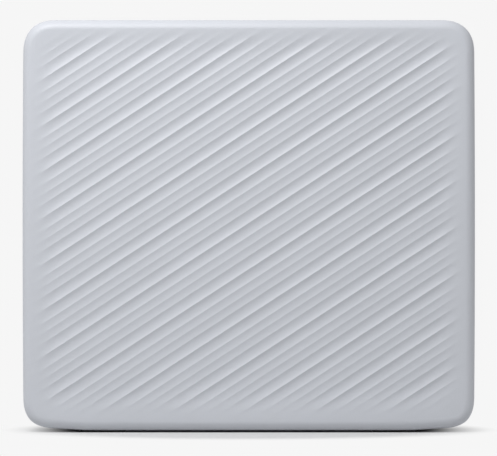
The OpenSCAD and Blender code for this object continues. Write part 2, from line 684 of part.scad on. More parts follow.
// ---- chassis ----
module cheek(y0) {
    translate([y0, chamber_z1 - 2]) square([frame_y1 + 0.5 - y0, cheek_z1 - chamber_z1 + 2]);
}
module side_wall() {
    translate([y_wall0, chassis_z0]) square([y_rim - y_wall0, seat_z1 - 0.5 - chassis_z0]);
}
frame_screws_at = [drive_at + polar(4.5, 128), press_at + polar(7.4, -46)];
motor_screws_at = [motor_at + [0, 4.2], motor_at - [0, 4.2]];
head_screws_at = [[film_x - 45, lug_z], [film_x + 45, lug_z]];
module chassis() color([0.11, 0.11, 0.12]) difference() {
    union() {
        block([chassis_x0, chassis_x1], [y_wall0, y_wall1], [chassis_z0, wall_z1]);
        block([chassis_x0, chassis_x1], [y_wall0, y_rim - 0.2], [chassis_z0, chamber_z0]);
        slab_x([chassis_x0, chamber_x0]) {
            side_wall();
            cheek(frame_y0);
        }
        slab_x([chamber_x1, chassis_x1]) {
            side_wall();
            cheek(y_bay + 0.6);
            translate([y_bay + 0.4, motor_at[1] - 12.5]) square([y_wall0 - y_bay, 21.5]);
        }
        for (x = [film_x - 44, film_x + 43])
            block([x, x + 1.2], [y_wall1 - root, y_wall1 + rail_h], [chamber_z0, chamber_z1 - 1]);
        for (at = chassis_screw_at) rod_y([y_pad, y_wall1 - root], at, 2.2);
        for (at = pillars) rod_x([chassis_x1 - root, plate_x], at, pillar_r);
        block(plinth_x, [button_y - 5.6, y_wall1 + 5], [button_z - 6, button_z + 6]);
        block([chassis_x1 - root, plinth_x[1]], [y_wall1 + 3, y_wall1 + 5], [button_z - 6, button_z + 6]);
        for (at = [[button_y - 4.4, button_z - 4.6], [y_wall1 + 3.8, button_z + 4.6]])
            rod_x([plinth_x[0] + 0.5, control_x + 1.6], at, 0.7, $fn = fine);
        block([claw_x, claw_x + 3.6], [claw_spring_y - 1.6, claw_spring_y + 1.6],
              [claw_post_z - 2, claw_post_z]);
        block([chassis_x1 - root, claw_x + 1], [claw_spring_y - 1.6, claw_spring_y + 1.6],
              [claw_post_z - 2, claw_post_z]);
    }
    block([film_x - roller_len/2, film_x + roller_len/2 - 3], [y_wall0 - 1, y_wall1 + 1],
          [slit_z - slit_h/2, slit_z + slit_h/2]);
    for (at = chassis_screw_at) {
        rod_y([y_pad - 1, y_wall1 + 1], at, 0.95, $fn = fine);
        rod_y([y_wall1 - 0.9, y_wall1 + 1], at, 1.7, $fn = fine);
    }
    for (at = head_screws_at) rod_y([y_wall0 - 1, y_wall1 + 1], at, 0.7 + hold, $fn = fine);
    for (at = pillars) rod_x([plate_x - 4, plate_x + 1], at, 0.7 + hold, $fn = fine);
    for (at = frame_screws_at) {
        rod_x([chassis_x0 - 1, chamber_x0 + 1], at, 0.7 + hold, $fn = fine);
        rod_x([chamber_x1 - 1, chassis_x1 + 1], at, 0.7 + hold, $fn = fine);
    }
    for (at = [upper_at, reduction_at, cam_at])
        rod_x([chamber_x1 - 1, chassis_x1 + 1], at, shaft_r + hold, $fn = fine);
    rod_x([chamber_x1 - 1, chassis_x1 + 1], motor_at, 2 + snug, $fn = fine);
    for (at = motor_screws_at) rod_x([chamber_x1 - 1, chassis_x1 + 1], at, 0.55, $fn = fine);
    rod_x([chamber_x1 - 1, chassis_x1 + 1], drive_at, journal_r + 0.7);
    slab_x([chamber_x1 - 1, chassis_x1 + 1])
        for (s = [0, 1]) translate(press_at + [s*press_travel, 0]) circle(journal_r + 0.7);
    block([chamber_x1 - 1, chassis_x1 + 1], [claw_y - clear, claw_y + claw_w + clear],
          [claw_z0 - clear, claw_z0 + 2 + claw_travel + clear]);
}
module chassis_screws() color([0.3, 0.3, 0.31]) {
    for (at = chassis_screw_at) screw_to_front(at, y_wall1 - 0.9 + hold, 0.85, 6, 1.5, 0.8);
}
module roller_frame() color([0.72, 0.73, 0.75]) difference() {
    union() {
        for (x = [frame_x0, frame_x1 - frame_t])
            block([x, x + frame_t], [frame_y0, frame_y1], [roller_z - 7.4, cheek_z1 - 0.4]);
        block([frame_x0, frame_x1], [frame_y1 - bridge_t, frame_y1], [roller_z - 6, cheek_z1 - 0.4]);
    }
    block([frame_x0 - 1, frame_x1 + 1], [frame_y0 - 1, y_wall1 + snug], [roller_z - 8, wall_z1 + snug]);
    rod_x([frame_x0 - 1, frame_x1 + 1], drive_at, bush_r + hold);
    block([frame_x0 - 1, frame_x1 + 1], [press_at[0] - block_r - fit, frame_y1 - bridge_t],
          [roller_z - block_r - fit, roller_z + block_r + fit]);
    for (at = frame_screws_at) rod_x([frame_x0 - 1, frame_x1 + 1], at, 0.8, $fn = fine);
    for (x = top_screw_x) rod_y([frame_y1 - 2, frame_y1 + 1], [x, top_screw_z], 0.85 + hold, $fn = fine);
}
// The same short screw holds roller frame, gear plate and print head
module frame_screws() color([0.72, 0.72, 0.74]) {
    for (at = frame_screws_at) {
        screw_to_left(frame_x0 + frame_t + hold, at, 0.7, 2.2, 1.3, 0.6);
        screw_to_right(frame_x1 - frame_t - hold, at, 0.7, 2.2, 1.3, 0.6);
    }
    for (at = pillars) screw_to_left(plate_x + plate_t + hold, at, 0.7, 3, 1.3, 0.6);
    for (at = head_screws_at) screw_to_back(at, y_wall0 - 1.2 - hold, 0.7, 2.2, 1.3, 0.6);
}

// ---- rollers ----
roller_end = gear_x0 + gear_w + 0.3;
module drive_roller() color([0.5, 0.51, 0.53]) {
    rod_x([roller_x0, roller_x1], drive_at, roller_r);
    rod_x([frame_x0 + 0.1, roller_end], drive_at, journal_r);
}
module bushing(x, s) {
    sleeve = s > 0 ? [x, x + frame_t] : [x, x + frame_t];
    lip = s > 0 ? [x - flange_t - hold, x - hold] : [x + frame_t + hold, x + frame_t + flange_t + hold];
    difference() {
        union() {
            rod_x(sleeve, drive_at, bush_r);
            rod_x(lip, drive_at, bush_r + 0.6);
            rod_x([x - hold, x + frame_t + hold], drive_at, bush_r - 0.1);
        }
        rod_x([x - 3, x + 3], drive_at, journal_r + fit);
    }
}
module drive_bushings() color([0.85, 0.84, 0.8]) {
    bushing(frame_x0, -1);
    bushing(frame_x1 - frame_t, 1);
}
module drive_gear() color([0.88, 0.87, 0.84]) difference() {
    gear(0, drive_at, drive_z, 0);
    rod_x([gear_x0 - 1, roller_end + 1], drive_at, journal_r + hold);
}
module pressure_roller() color([0.16, 0.16, 0.17]) {
    rod_x([roller_x0, roller_x1], press_at, roller_r);
    rod_x([frame_x0 + 0.1, roller_end], press_at, journal_r);
}
// Sliding blocks that carry the pressure roller in slots of the frame
module pressure_bearings() color([0.85, 0.84, 0.8]) {
    for (s = [-1, 1]) {
        x = s < 0 ? frame_x0 : frame_x1 - frame_t;
        lip = s > 0 ? [x - flange_t - fit, x - fit] : [x + frame_t + fit, x + frame_t + flange_t + fit];
        difference() {
            union() {
                block([x, x + frame_t], press_at[0]*[1, 1] + [-block_r, block_r],
                      roller_z*[1, 1] + [-block_r, block_r]);
                block([x - fit, x + frame_t + fit], press_at[0]*[1, 1] + [1 - block_r, block_r - 1],
                      roller_z*[1, 1] + [-block_r + 0.1, block_r - 0.1]);
                block(lip, press_at[0]*[1, 1] + [-block_r, block_r],
                      roller_z*[1, 1] + [-block_r - 0.6, block_r + 0.6]);
            }
            rod_x([x - 3, x + 3], press_at, journal_r + fit);
        }
    }
}
module pressure_springs() color([0.75, 0.75, 0.77]) {
    y0 = press_at[0] + block_r + hold;
    length = frame_y1 - bridge_t - hold - y0;
    for (x = [frame_x0 + 0.9, frame_x1 - 0.9])
        translate([x, y0, roller_z]) rotate([-90, 0, 0]) coil(0.7, 0.15, round(length/0.67), length);
}
module pressure_gear() color([0.88, 0.87, 0.84]) difference() {
    gear(0, press_at, drive_z, meshed(0, drive_z, drive_z, 0));
    rod_x([gear_x0 - 1, roller_end + 1], press_at, journal_r + hold);
}

// ---- gear train ----
module gear_plate() color([0.72, 0.73, 0.75]) slab_x([plate_x + hold, plate_x + plate_t]) difference() {
    polygon([pillars[2] + [-1.9, -2.4], pillars[3] + [-1.9, 2], pillars[3] + [3, 2],
             pillars[0] + [2, 2.6], pillars[1] + [2.2, 0], cam_at + [4.5, -4], cam_at + [-3, -4.4]]);
    for (at = pillars) translate(at) circle(0.8, $fn = fine);
    for (at = [upper_at, reduction_at, cam_at]) translate(at) circle(shaft_r + hold, $fn = fine);
    translate(motor_at) circle(shaft_r + fit, $fn = fine);
    translate((reduction_at + pillars[1])/2 + [-0.5, 1]) circle(2.6);
}
module gear_shafts() color([0.78, 0.78, 0.8]) {
    for (at = [upper_at, reduction_at, cam_at])
        rod_x([chamber_x1 + 0.1, plate_x + plate_t - 0.1], at, shaft_r, $fn = fine);
    rod_x([gear_x0 + layer + gear_w + 0.1, plate_x - hold], upper_at, 1.05, $fn = fine);
}
upper_turn = meshed(0, drive_z, upper_small_z, upper_aim);
reduction_turn = meshed(0, upper_big_z, reduction_small_z, reduction_aim);
module hub(i0, i1, at, r) {
    rod_x([gear_x0 + i0*layer, gear_x0 + i1*layer + gear_w], at, r);
}
module gear_bore(at) {
    rod_x([chamber_x0, plate_x + 2], at, shaft_r + fit, $fn = fine);
}
module upper_gear() color([0.88, 0.87, 0.84]) difference() {
    union() {
        gear(0, upper_at, upper_small_z, upper_turn);
        gear(1, upper_at, upper_big_z, 0);
        hub(0, 1, upper_at, 2.2);
    }
    gear_bore(upper_at);
}
module reduction_gear() color([0.88, 0.87, 0.84]) difference() {
    union() {
        gear(1, reduction_at, reduction_small_z, reduction_turn);
        gear(2, reduction_at, reduction_big_z, 0);
        hub(0, 2, reduction_at, 1.5);
    }
    gear_bore(reduction_at);
}
module cam_wheel() color([0.88, 0.87, 0.84]) difference() {
    union() {
        gear(2, cam_at, cam_z, meshed(0, reduction_big_z, cam_z, cam_aim));
        hub(0, 2, cam_at, 1.6);
        rod_x([gear_x0 + 0.9, gear_x0 + gear_w], cam_at - [0, lobe_off], lobe_r);
    }
    gear_bore(cam_at);
}
module motor_outline() {
    translate(motor_at) intersection() {
        circle(motor_r);
        square([motor_flat, 3*motor_r], center = true);
    }
}
module motor() color([0.74, 0.75, 0.77]) difference() {
    union() {
        slab_x([motor_x0 + cap_t, motor_x1]) motor_outline();
        rod_x([motor_x1 - 1, motor_x1 + 1], motor_at, 2);
    }
    rod_x([motor_x0, motor_x1 + 2], motor_at, shaft_r + fit, $fn = fine);
    for (at = motor_screws_at) rod_x([motor_x1 - 2, motor_x1 + 1], at, 0.5 + hold, $fn = fine);
}
module motor_cap() color([0.92, 0.92, 0.9]) difference() {
    slab_x([motor_x0, motor_x0 + cap_t - hold]) motor_outline();
    rod_x([motor_x0 + 1, motor_x1], motor_at, shaft_r + fit, $fn = fine);
}
module motor_shaft() color([0.78, 0.78, 0.8]) {
    rod_x([motor_x0 + 1.2, plate_x + plate_t - 0.1], motor_at, shaft_r, $fn = fine);
}
module motor_pinion() color([0.83, 0.71, 0.42]) difference() {
    gear(2, motor_at, pinion_z, meshed(0, reduction_big_z, pinion_z, motor_aim));
    rod_x([gear_x0, plate_x + 2], motor_at, shaft_r + hold, $fn = fine);
}
module motor_screws() color([0.72, 0.72, 0.74]) {
    for (at = motor_screws_at) screw_to_left(chassis_x1 + hold, at, 0.5, 2.6, 1, 0.5);
}
// Slider whose hook pushes the used film out of the pack
module film_claw() color([0.75, 0.75, 0.77]) {
    y = [claw_y, claw_y + claw_w];
    block([claw_x, claw_x + claw_t], y, [claw_z0, tab_z + 2]);
    block([chamber_x1 - 2, claw_x + claw_t], y, [claw_z0, claw_z0 + 2]);
    block([claw_x, gear_x0 + gear_w - 0.2], [claw_y, cam_at[0] + 2], [tab_z, tab_z + 2]);
    block([claw_x, claw_x + claw_t], [claw_y, claw_spring_y + 1.4],
          claw_post_z*[1, 1] + [claw_spring_l, claw_spring_l + 2]);
    block([claw_x, claw_x + 3.2], [claw_spring_y - 1.4, claw_spring_y + 1.4],
          claw_post_z*[1, 1] + [claw_spring_l, claw_spring_l + 2]);
}
module claw_spring() color([0.75, 0.75, 0.77]) {
    translate([claw_x + 1.7, claw_spring_y, claw_post_z + hold]) coil(1.1, 0.15, 9, claw_spring_l - 2*hold);
}

// ---- exposure ----
module print_head() color([0.14, 0.14, 0.15]) difference() {
    union() {
        block([roller_x0, roller_x1 - 3], [y_bay + 1, y_wall0 - 0.3], [head_z0, head_z1]);
        for (at = head_screws_at)
            block([at[0] - 3, at[0] + 3], [y_wall0 - 1.2, y_wall0 - hold], [lug_z - 1.9, head_z0 + 1]);
    }
    block([roller_x0 + 1.5, roller_x1 - 4.5], [y_wall0 - 2.6, y_wall0 + 1], [slit_z - 0.6, slit_z + 0.6]);
    for (at = head_screws_at) rod_y([y_wall0 - 2, y_wall0 + 1], at, 0.8, $fn = fine);
}
module lens_strip() color([0.55, 0.6, 0.66, 0.9]) {
    block([roller_x0 + 1.6, roller_x1 - 4.6], [y_wall0 - 2.5, y_wall1 - 0.1], [slit_z - 0.55, slit_z + 0.55]);
}
module head_cable() color([0.85, 0.55, 0.2]) {
    block(flex_x, [board_y + 1.1, board_y + 1.25], [board_z[1] - 1.6, head_z0 - hold]);
}

// ---- electronics ----
module battery() color([0.3, 0.34, 0.4]) {
    block(cell_x, cell_y, cell_z);
}
wire_y = board_y + 1.25;
module wire(x, y, z) rod_z(z, [x, y], 0.5, $fn = fine);
module battery_lead() color([0.75, 0.15, 0.12]) {
    for (x = lead_x) wire(x, wire_y, [board_z[1] - 1.5, cell_z[0] - hold]);
}
module motor_leads() color([0.15, 0.15, 0.16]) {
    for (x = [motor_x0 + 0.7, motor_x0 + 2.2]) wire(x, wire_y, [board_z[1] - 1.5, motor_at[1] - motor_r + 0.3]);
}
module main_board() color([0.1, 0.3, 0.16]) slab_y([board_y - board_t, board_y]) difference() {
    translate([board_x[0], board_z[0]]) square([board_x[1] - board_x[0], board_z[1] - board_z[0]]);
    for (at = post_at) translate(at) circle(0.8, $fn = fine);
    translate([board_x[0] - 1, reset_z - 2.2]) square([1.75, 4.4]);
}
// A part of width w and height h soldered to the board, standing t off it
module chip(at, w, h, t) {
    block(at[0]*[1, 1] + [-w/2, w/2], [board_y + hold, board_y + t], at[1]*[1, 1] + [-h/2, h/2]);
}
module shield_can() color([0.75, 0.76, 0.78]) chip(spot(0.4, 17.6), 24, 24, 2);
module board_chips() color([0.12, 0.12, 0.13]) {
    chip(spot(0.635, 12.6), 10, 10, 1.4);
    chip(spot(0.795, 8.1), 8, 5, 1.4);
    chip(spot(0.165, 26.6), 6, 6, 1.2);
    chip([-x_in + 3.3, reset_z], 3, 3.4, 2.4);
    chip(spot(0.88, 18.6), 6, 6, 2.4);
}
module board_connectors() color([0.9, 0.88, 0.82]) {
    for (x = [[lead_x[0] - 1.4, lead_x[1] + 1.4], [flex_x[0] - 0.6, flex_x[1] + 0.6],
              [motor_x0 - 0.8, motor_x0 + 2.9]])
        block(x, [board_y + hold, board_y + 2.2], [board_z[1] - 5.6, board_z[1] - 1.6 - hold]);
    block([board_x[1] - 6.5, board_x[1] - 2], [board_y + hold, board_y + 2.2],
          [button_z - 10.2, button_z - 5.6]);
}
module board_screws() color([0.72, 0.72, 0.74]) {
    for (at = post_at) screw_to_front(at, board_y + hold, 0.7, 4, 1.3, 0.6);
}
module charging_socket() color([0.78, 0.78, 0.8]) difference() {
    block([-x_in + 0.3, -x_in + 5.6], [board_y + hold, board_y + 2.7], [socket_z - 3.8, socket_z + 3.8]);
    difference() {
        block([-x_in, -x_in + 5], [board_y + 0.35, board_y + 2.35], [socket_z - 3.45, socket_z + 3.45]);
        block([-x_in + 1, -x_in + 6], [board_y + 1.1, board_y + 1.6], [socket_z - 2.6, socket_z + 2.6]);
    }
}

// ---- controls ----
flange_x = [x_out - 3.8, x_out - 2.8];
module power_button() color(shell_grey) {
    rod_x([flange_x[1] - 0.1, x_out - 0.1], [button_y, button_z], button_r);
    rod_x(flange_x, [button_y, button_z], button_r + 1);
    rod_x([control_x + 3.3 + button_travel, flange_x[1]], [button_y, button_z], 1.4, $fn = fine);
}
module button_spring() color([0.75, 0.75, 0.77]) {
    translate([control_x + 3.1 + hold, button_y, button_z]) rotate([0, 90, 0])
        coil(2.2, 0.18, 4, flange_x[0] - control_x - 3.1 - 2*hold);
}
module light_ring() color([0.93, 0.94, 0.96]) difference() {
    union() {
        rod_x([x_in - 0.6, x_out - 0.1], [button_y, button_z], ring_r);
        rod_x([x_in - 0.7, x_in - hold], [button_y, button_z], ring_r + 0.8);
    }
    rod_x([x_in - 1, x_out + 1], [button_y, button_z], button_r + clear);
}
module button_board() color([0.1, 0.3, 0.16]) slab_x([control_x, control_x + 1]) difference() {
    translate([button_y - 5.6, button_z - 10]) square([switch_y + 6 - button_y + 5.6, 16]);
    for (at = [[button_y - 4.4, button_z - 4.6], [y_wall1 + 3.8, button_z + 4.6]])
        translate(at) circle(0.7 + hold, $fn = fine);
}
module button_switch() color([0.14, 0.14, 0.15]) {
    block([control_x + 1 + hold, control_x + 3.1], button_y*[1, 1] + [-3, 3], button_z*[1, 1] + [-3, 3]);
    rod_x([control_x + 2.8, control_x + 3.2], [button_y, button_z], 1.5, $fn = fine);
}
module button_cable() color([0.85, 0.55, 0.2]) {
    block([board_x[1] - 2 + hold, control_x - hold], [board_y + 1.1, board_y + 1.25],
          [button_z - 9.4, button_z - 6.6]);
}
plunger_at = [control_x + 2.6, button_z - 3];
module door_switch() color([0.14, 0.14, 0.15]) difference() {
    block([control_x + 1 + hold, control_x + 4.2], [switch_y, switch_y + 6], [button_z - 7, button_z + 1]);
    rod_y([switch_y + 2, switch_y + 7], plunger_at, 1 + fit, $fn = fine);
}
module switch_plunger() color([0.9, 0.9, 0.88]) {
    rod_y([switch_y + 2.8, y_door - snug], plunger_at, 1, $fn = fine);
}
module reset_button() color([0.85, 0.85, 0.87]) {
    rod_x([-x_out + 0.1, -x_in + 0.5], [side_y, reset_z], 1, $fn = fine);
    rod_x([-x_in + 0.2, -x_in + 1.2], [side_y, reset_z], 1.7, $fn = fine);
}
module charge_light() color([0.95, 0.96, 0.98]) {
    rod_x([-x_out + 0.1, -x_in + 1], [side_y, light_z], 0.9, $fn = fine);
    block([-x_in + hold, -x_in + 3], [board_y + hold, side_y + 0.8], [light_z - 1, light_z + 1]);
}

front_shell();
rear_shell();
rubber_feet();
exit_bezel();
exit_flap();
casing_screws();
film_door();
hinge_pins();
door_liner();
pack_springs();
door_latch();
latch_cover();
latch_springs();
door_screws();
light_seal();
chassis();
chassis_screws();
roller_frame();
frame_screws();
drive_roller();
drive_bushings();
drive_gear();
pressure_roller();
pressure_bearings();
pressure_springs();
pressure_gear();
gear_plate();
gear_shafts();
upper_gear();
reduction_gear();
cam_wheel();
motor();
motor_cap();
motor_shaft();
motor_pinion();
motor_screws();
film_claw();
claw_spring();
print_head();
lens_strip();
head_cable();
battery();
battery_lead();
motor_leads();
main_board();
shield_can();
board_chips();
board_connectors();
board_screws();
charging_socket();
power_button();
button_spring();
light_ring();
button_board();
button_switch();
button_cable();
door_switch();
switch_plunger();
reset_button();
charge_light();
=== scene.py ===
import math
import bpy
import bmesh
from mathutils import Matrix, Vector


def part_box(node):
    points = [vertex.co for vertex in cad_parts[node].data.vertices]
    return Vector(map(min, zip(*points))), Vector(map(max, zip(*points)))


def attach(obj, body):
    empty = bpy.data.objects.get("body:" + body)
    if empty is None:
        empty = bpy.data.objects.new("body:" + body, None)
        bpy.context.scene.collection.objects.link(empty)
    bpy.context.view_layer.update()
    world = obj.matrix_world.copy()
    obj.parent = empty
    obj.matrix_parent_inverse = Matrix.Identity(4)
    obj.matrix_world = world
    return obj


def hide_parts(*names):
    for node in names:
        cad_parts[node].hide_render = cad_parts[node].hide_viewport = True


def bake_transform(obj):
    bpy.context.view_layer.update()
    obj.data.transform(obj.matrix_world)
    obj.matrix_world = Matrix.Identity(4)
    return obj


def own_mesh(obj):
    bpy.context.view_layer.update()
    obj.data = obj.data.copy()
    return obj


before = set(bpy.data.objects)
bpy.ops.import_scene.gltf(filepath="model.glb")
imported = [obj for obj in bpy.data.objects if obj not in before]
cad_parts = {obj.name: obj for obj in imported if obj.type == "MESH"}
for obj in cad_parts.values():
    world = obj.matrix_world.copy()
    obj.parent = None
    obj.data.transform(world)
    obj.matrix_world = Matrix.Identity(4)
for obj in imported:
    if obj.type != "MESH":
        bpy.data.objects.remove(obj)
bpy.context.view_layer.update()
MM = 0.001


# ---------------------------------------------------------------- the view
# A long lens stands level with the middle of the printer and looks straight
# at the ribbed face, so that the sides hardly show.
PHOTO_W, PHOTO_H = 497, 456
PIXELS_PER_MM = 3.2547
CENTRE_PX = (248.8, 225.2)      # where the casing's middle falls in the photo
LENS_DISTANCE = 1.1             # from the widest part of the casing's front, in metres
SENSOR = 36.0

face_lo, face_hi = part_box("front_shell")
MID_Z = (face_lo.z + face_hi.z) / 2
Y_FACE = face_lo.y
Y_BROAD = Y_FACE + 3 * MM

view = bpy.data.cameras.new("view")
view.sensor_width = SENSOR
view.lens = SENSOR * LENS_DISTANCE / (PHOTO_W / PIXELS_PER_MM * MM)
view.clip_start, view.clip_end = 0.05, 60
camera = bpy.data.objects.new("view", view)
camera.location = (-(CENTRE_PX[0] - PHOTO_W / 2) / PIXELS_PER_MM * MM, Y_BROAD - LENS_DISTANCE,
                   MID_Z - (PHOTO_H / 2 - CENTRE_PX[1]) / PIXELS_PER_MM * MM)
camera.rotation_euler = (math.radians(90), 0, 0)
bpy.context.collection.objects.link(camera)
bpy.context.scene.camera = camera
bpy.context.scene.view_settings.view_transform = "Standard"


# ------------------------------------------------------- table and daylight
# A white table top that runs on without an edge, under a pale even sky that
# is a little brighter from the upper left, with one broad soft lamp there.
TABLE_WHITE = 0.65
BACKDROP = 0.922                # linear value of the photo's pale ground
FADE_FROM, FADE_TO = 0.054, 0.079  # distances over which the table fades into it
FADE_OVAL = 1.35                # how much sooner it does so to the front and back
SKY_LOW, SKY_HIGH = 0.18, 0.38  # the sky near the ground and up high
SKY_SIDE = 0.60                 # what it has more at both sides
LAMP_POWER, LAMP_SIZE = 1.36, 0.22
LAMP_AT, LAMP_AIM = (-0.12, -0.25, 0.393), (0, 0, 0.06)
TABLE_HALF = 30                 # metres from its middle to its edges

def new_material(name):
    """A node material with an empty tree, and that tree."""
    mat = bpy.data.materials.new(name)
    mat.use_nodes = True
    tree = mat.node_tree
    tree.nodes.clear()
    return mat, tree

def add(tree, kind, inputs=None, **settings):
    """A node with its settings and inputs: a value, or a socket to link from."""
    node = tree.nodes.new(kind)
    for key, value in settings.items():
        setattr(node, key, value)
    for key, value in (inputs or {}).items():
        socket = node.inputs[key]
        if isinstance(value, bpy.types.NodeSocket):
            tree.links.new(value, socket)
        else:
            socket.default_value = value
    return node

def seen_ray(tree):
    """1 for rays from the lens, also by way of metal or glass."""
    ray = add(tree, "ShaderNodeLightPath")
    first = add(tree, "ShaderNodeMath", {0: ray.outputs["Is Camera Ray"], 1: ray.outputs["Is Glossy Ray"]},
                operation="MAXIMUM")
    return add(tree, "ShaderNodeMath", {0: first.outputs[0], 1: ray.outputs["Is Transmission Ray"]},
               operation="MAXIMUM").outputs[0]

def table_material():
    """White paper that takes the shadow near the printer and fades into the ground behind."""
    mat, tree = new_material("white_table")
    place = add(tree, "ShaderNodeTexCoord").outputs["Object"]
    grain = add(tree, "ShaderNodeTexNoise", {"Vector": place, "Scale": 900.0})
    bump = add(tree, "ShaderNodeBump", {"Height": grain.outputs["Fac"], "Strength": 0.03, "Distance": 0.0002})
    paper = add(tree, "ShaderNodeBsdfDiffuse", {"Color": (TABLE_WHITE, TABLE_WHITE, TABLE_WHITE, 1),
                                                "Normal": bump.outputs["Normal"]})
    ground = add(tree, "ShaderNodeEmission", {"Color": (BACKDROP, BACKDROP, BACKDROP, 1), "Strength": 1.0})
    oval = add(tree, "ShaderNodeVectorMath", {0: place, 1: (1.0, FADE_OVAL, 0.0)}, operation="MULTIPLY")
    away = add(tree, "ShaderNodeVectorMath", {0: oval.outputs[0]}, operation="LENGTH")
    far = add(tree, "ShaderNodeMapRange", {"Value": away.outputs["Value"], "From Min": FADE_FROM,
                                           "From Max": FADE_TO, "To Min": 0.0}, interpolation_type="SMOOTHSTEP")
    share = add(tree, "ShaderNodeMath", {0: far.outputs["Result"], 1: seen_ray(tree)}, operation="MULTIPLY")
    mix = add(tree, "ShaderNodeMixShader", {0: share.outputs[0], 1: paper.outputs["BSDF"],
                                            2: ground.outputs["Emission"]})
    add(tree, "ShaderNodeOutputMaterial", {"Surface": mix.outputs["Shader"]})
    return mat

mesh = bpy.data.meshes.new("table")
mesh.from_pydata([(sx * TABLE_HALF, sy * TABLE_HALF, 0) for sx, sy in ((-1, -1), (1, -1), (1, 1), (-1, 1))],
                 [], [(0, 1, 2, 3)])
table = bpy.data.objects.new("table", mesh)
mesh.materials.append(table_material())
bpy.context.collection.objects.link(table)

world = bpy.data.worlds.new("sky")
bpy.context.scene.world = world
world.use_nodes = True
tree = world.node_tree
tree.nodes.clear()
place = add(tree, "ShaderNodeTexCoord")
aim = add(tree, "ShaderNodeVectorMath", {0: place.outputs["Generated"], 1: (-0.25, -0.25, 0.93)},
          operation="DOT_PRODUCT")
lift = add(tree, "ShaderNodeMapRange", {"Value": aim.outputs["Value"], "From Min": -0.3, "From Max": 0.9,
                                        "To Min": SKY_LOW, "To Max": SKY_HIGH})
parts = add(tree, "ShaderNodeSeparateXYZ", {0: place.outputs["Generated"]})
aside = add(tree, "ShaderNodeMath", {0: parts.outputs["X"]}, operation="ABSOLUTE")
flank = add(tree, "ShaderNodeMapRange", {"Value": aside.outputs[0], "From Min": 0.45, "From Max": 0.95,
                                         "To Min": 0.0, "To Max": SKY_SIDE}, interpolation_type="SMOOTHSTEP")
total = add(tree, "ShaderNodeMath", {0: lift.outputs["Result"], 1: flank.outputs["Result"]}, operation="ADD")
glow = add(tree, "ShaderNodeBackground", {"Color": (1.0, 1.0, 1.0, 1), "Strength": total.outputs[0]})
plain = add(tree, "ShaderNodeBackground", {"Color": (BACKDROP, BACKDROP, BACKDROP, 1), "Strength": 1.0})
pick = add(tree, "ShaderNodeMixShader", {0: seen_ray(tree), 1: glow.outputs["Background"],
                                         2: plain.outputs["Background"]})
add(tree, "ShaderNodeOutputWorld", {"Surface": pick.outputs["Shader"]})

lamp = bpy.data.lights.new("window", "AREA")
lamp.shape = "RECTANGLE"
lamp.size, lamp.size_y = LAMP_SIZE, LAMP_SIZE
lamp.energy = LAMP_POWER
window = bpy.data.objects.new("window", lamp)
window.location = LAMP_AT
window.rotation_euler = (Vector(LAMP_AIM) - window.location).to_track_quat("-Z", "Y").to_euler()
bpy.context.collection.objects.link(window)


# ---------------------------------------------------------- front casing
# The ribbed half of the casing: one moulding in pale grey ABS. Slanted hollow
# flutes with sharp crests run over the face and die out before its edge.
CASING_GREY = (0.565, 0.585, 0.63)
CORNER = 10.3 * MM              # where a corner leaves the straight
CORNER_POWER = 2.43             # how square the corner's curve is
SIDE_BOW = 0.3 * MM             # how far the corners stand back from the sides
FOOT_RISE = 0.6 * MM            # how far the bottom edge rises before it turns into a lower corner
RISE_AT, RISE_OVER = 49, 12     # mm from the middle, where that rise starts, and over how many
TURN_AT, TURN_OVER = 62, 7.5    # the same for where it gives way to the corner
LOW_AT, LOW_OVER = 0.8, 0.2     # and over which part of the half height it fades in
EDGE = 3.0 * MM                 # rounding between face and sides
WALL = 2.0 * MM
FACE_WALL = 2.2 * MM
Y_SPLIT = 4.0 * MM              # parting line
LIP = 1.5 * MM                  # recess for the rear casing's lip
Y_BAY = Y_FACE + FACE_WALL
HALF_W = face_hi.x
HALF_H = (face_hi.z - face_lo.z) / 2

RIB_SLOPE = math.radians(33.0)
WIDE, NARROW = 3.38 * MM, 2.565 * MM       # widths of the two kinds of flute
WIDE_R, NARROW_R = 4.35 * MM, 5.7 * MM     # radii of their hollows
CREST_DROP = 0.15 * MM          # how much lower the crests between the tall ones are
PITCH = 2 * (WIDE + NARROW)
CREST_SHIFT = -0.60 * MM        # sets a tall crest in its place across the face
STEPS = 7                       # facets across one flute
FADE_LEFT, FADE_RIGHT = 2.7 * MM, 3.2 * MM
FADE_TOP, FADE_FOOT = 1.5 * MM, 3.6 * MM
FADE_LENGTH = 9.0 * MM          # over which a rib comes up to its full depth
FADE_CORNER = 12 * MM           # corner radius of the ribbed field

def outline(inset=0.0):
    """The casing seen from the front, as (x, z, normal x, normal z) going round."""
    points = []
    a, n = CORNER, CORNER_POWER
    for sx, sz in [(1, 1), (-1, 1), (-1, -1), (1, -1)]:
        corner = []
        for k in range(25):
            t = math.radians(90 * k / 24)
            c, s = math.cos(t), math.sin(t)
            nx, nz = c ** (2 - 2 / n), s ** (2 - 2 / n)
            size = math.hypot(nx, nz)
            corner.append((HALF_W - a + a * c ** (2 / n), HALF_H - a + a * s ** (2 / n), nx / size, nz / size))
        if sx * sz < 0:
            corner.reverse()
        corner = [(sx * x, sz * z, sx * nx, sz * nz) for x, z, nx, nz in corner]
        if points:
            points += straight(points[-1], corner[0])
        points += corner
    points += straight(points[-1], points[0])
    bowed = []
    for x, z, nx, nz in points:
        x *= 1 - SIDE_BOW / HALF_W * (z / HALF_H) ** 2
        z += foot_rise(x, z)
        bowed.append((x - inset * nx, z - inset * nz + MID_Z, nx, nz))
    return bowed

def foot_rise(x, z):
    """How far the outline is lifted at a place near a lower corner, measured from the casing's middle."""
    u = abs(x) / MM
    along_edge = smooth((u - RISE_AT) / RISE_OVER) * (1 - smooth((u - TURN_AT) / TURN_OVER))
    return FOOT_RISE * along_edge * smooth((-z / HALF_H - LOW_AT) / LOW_OVER)

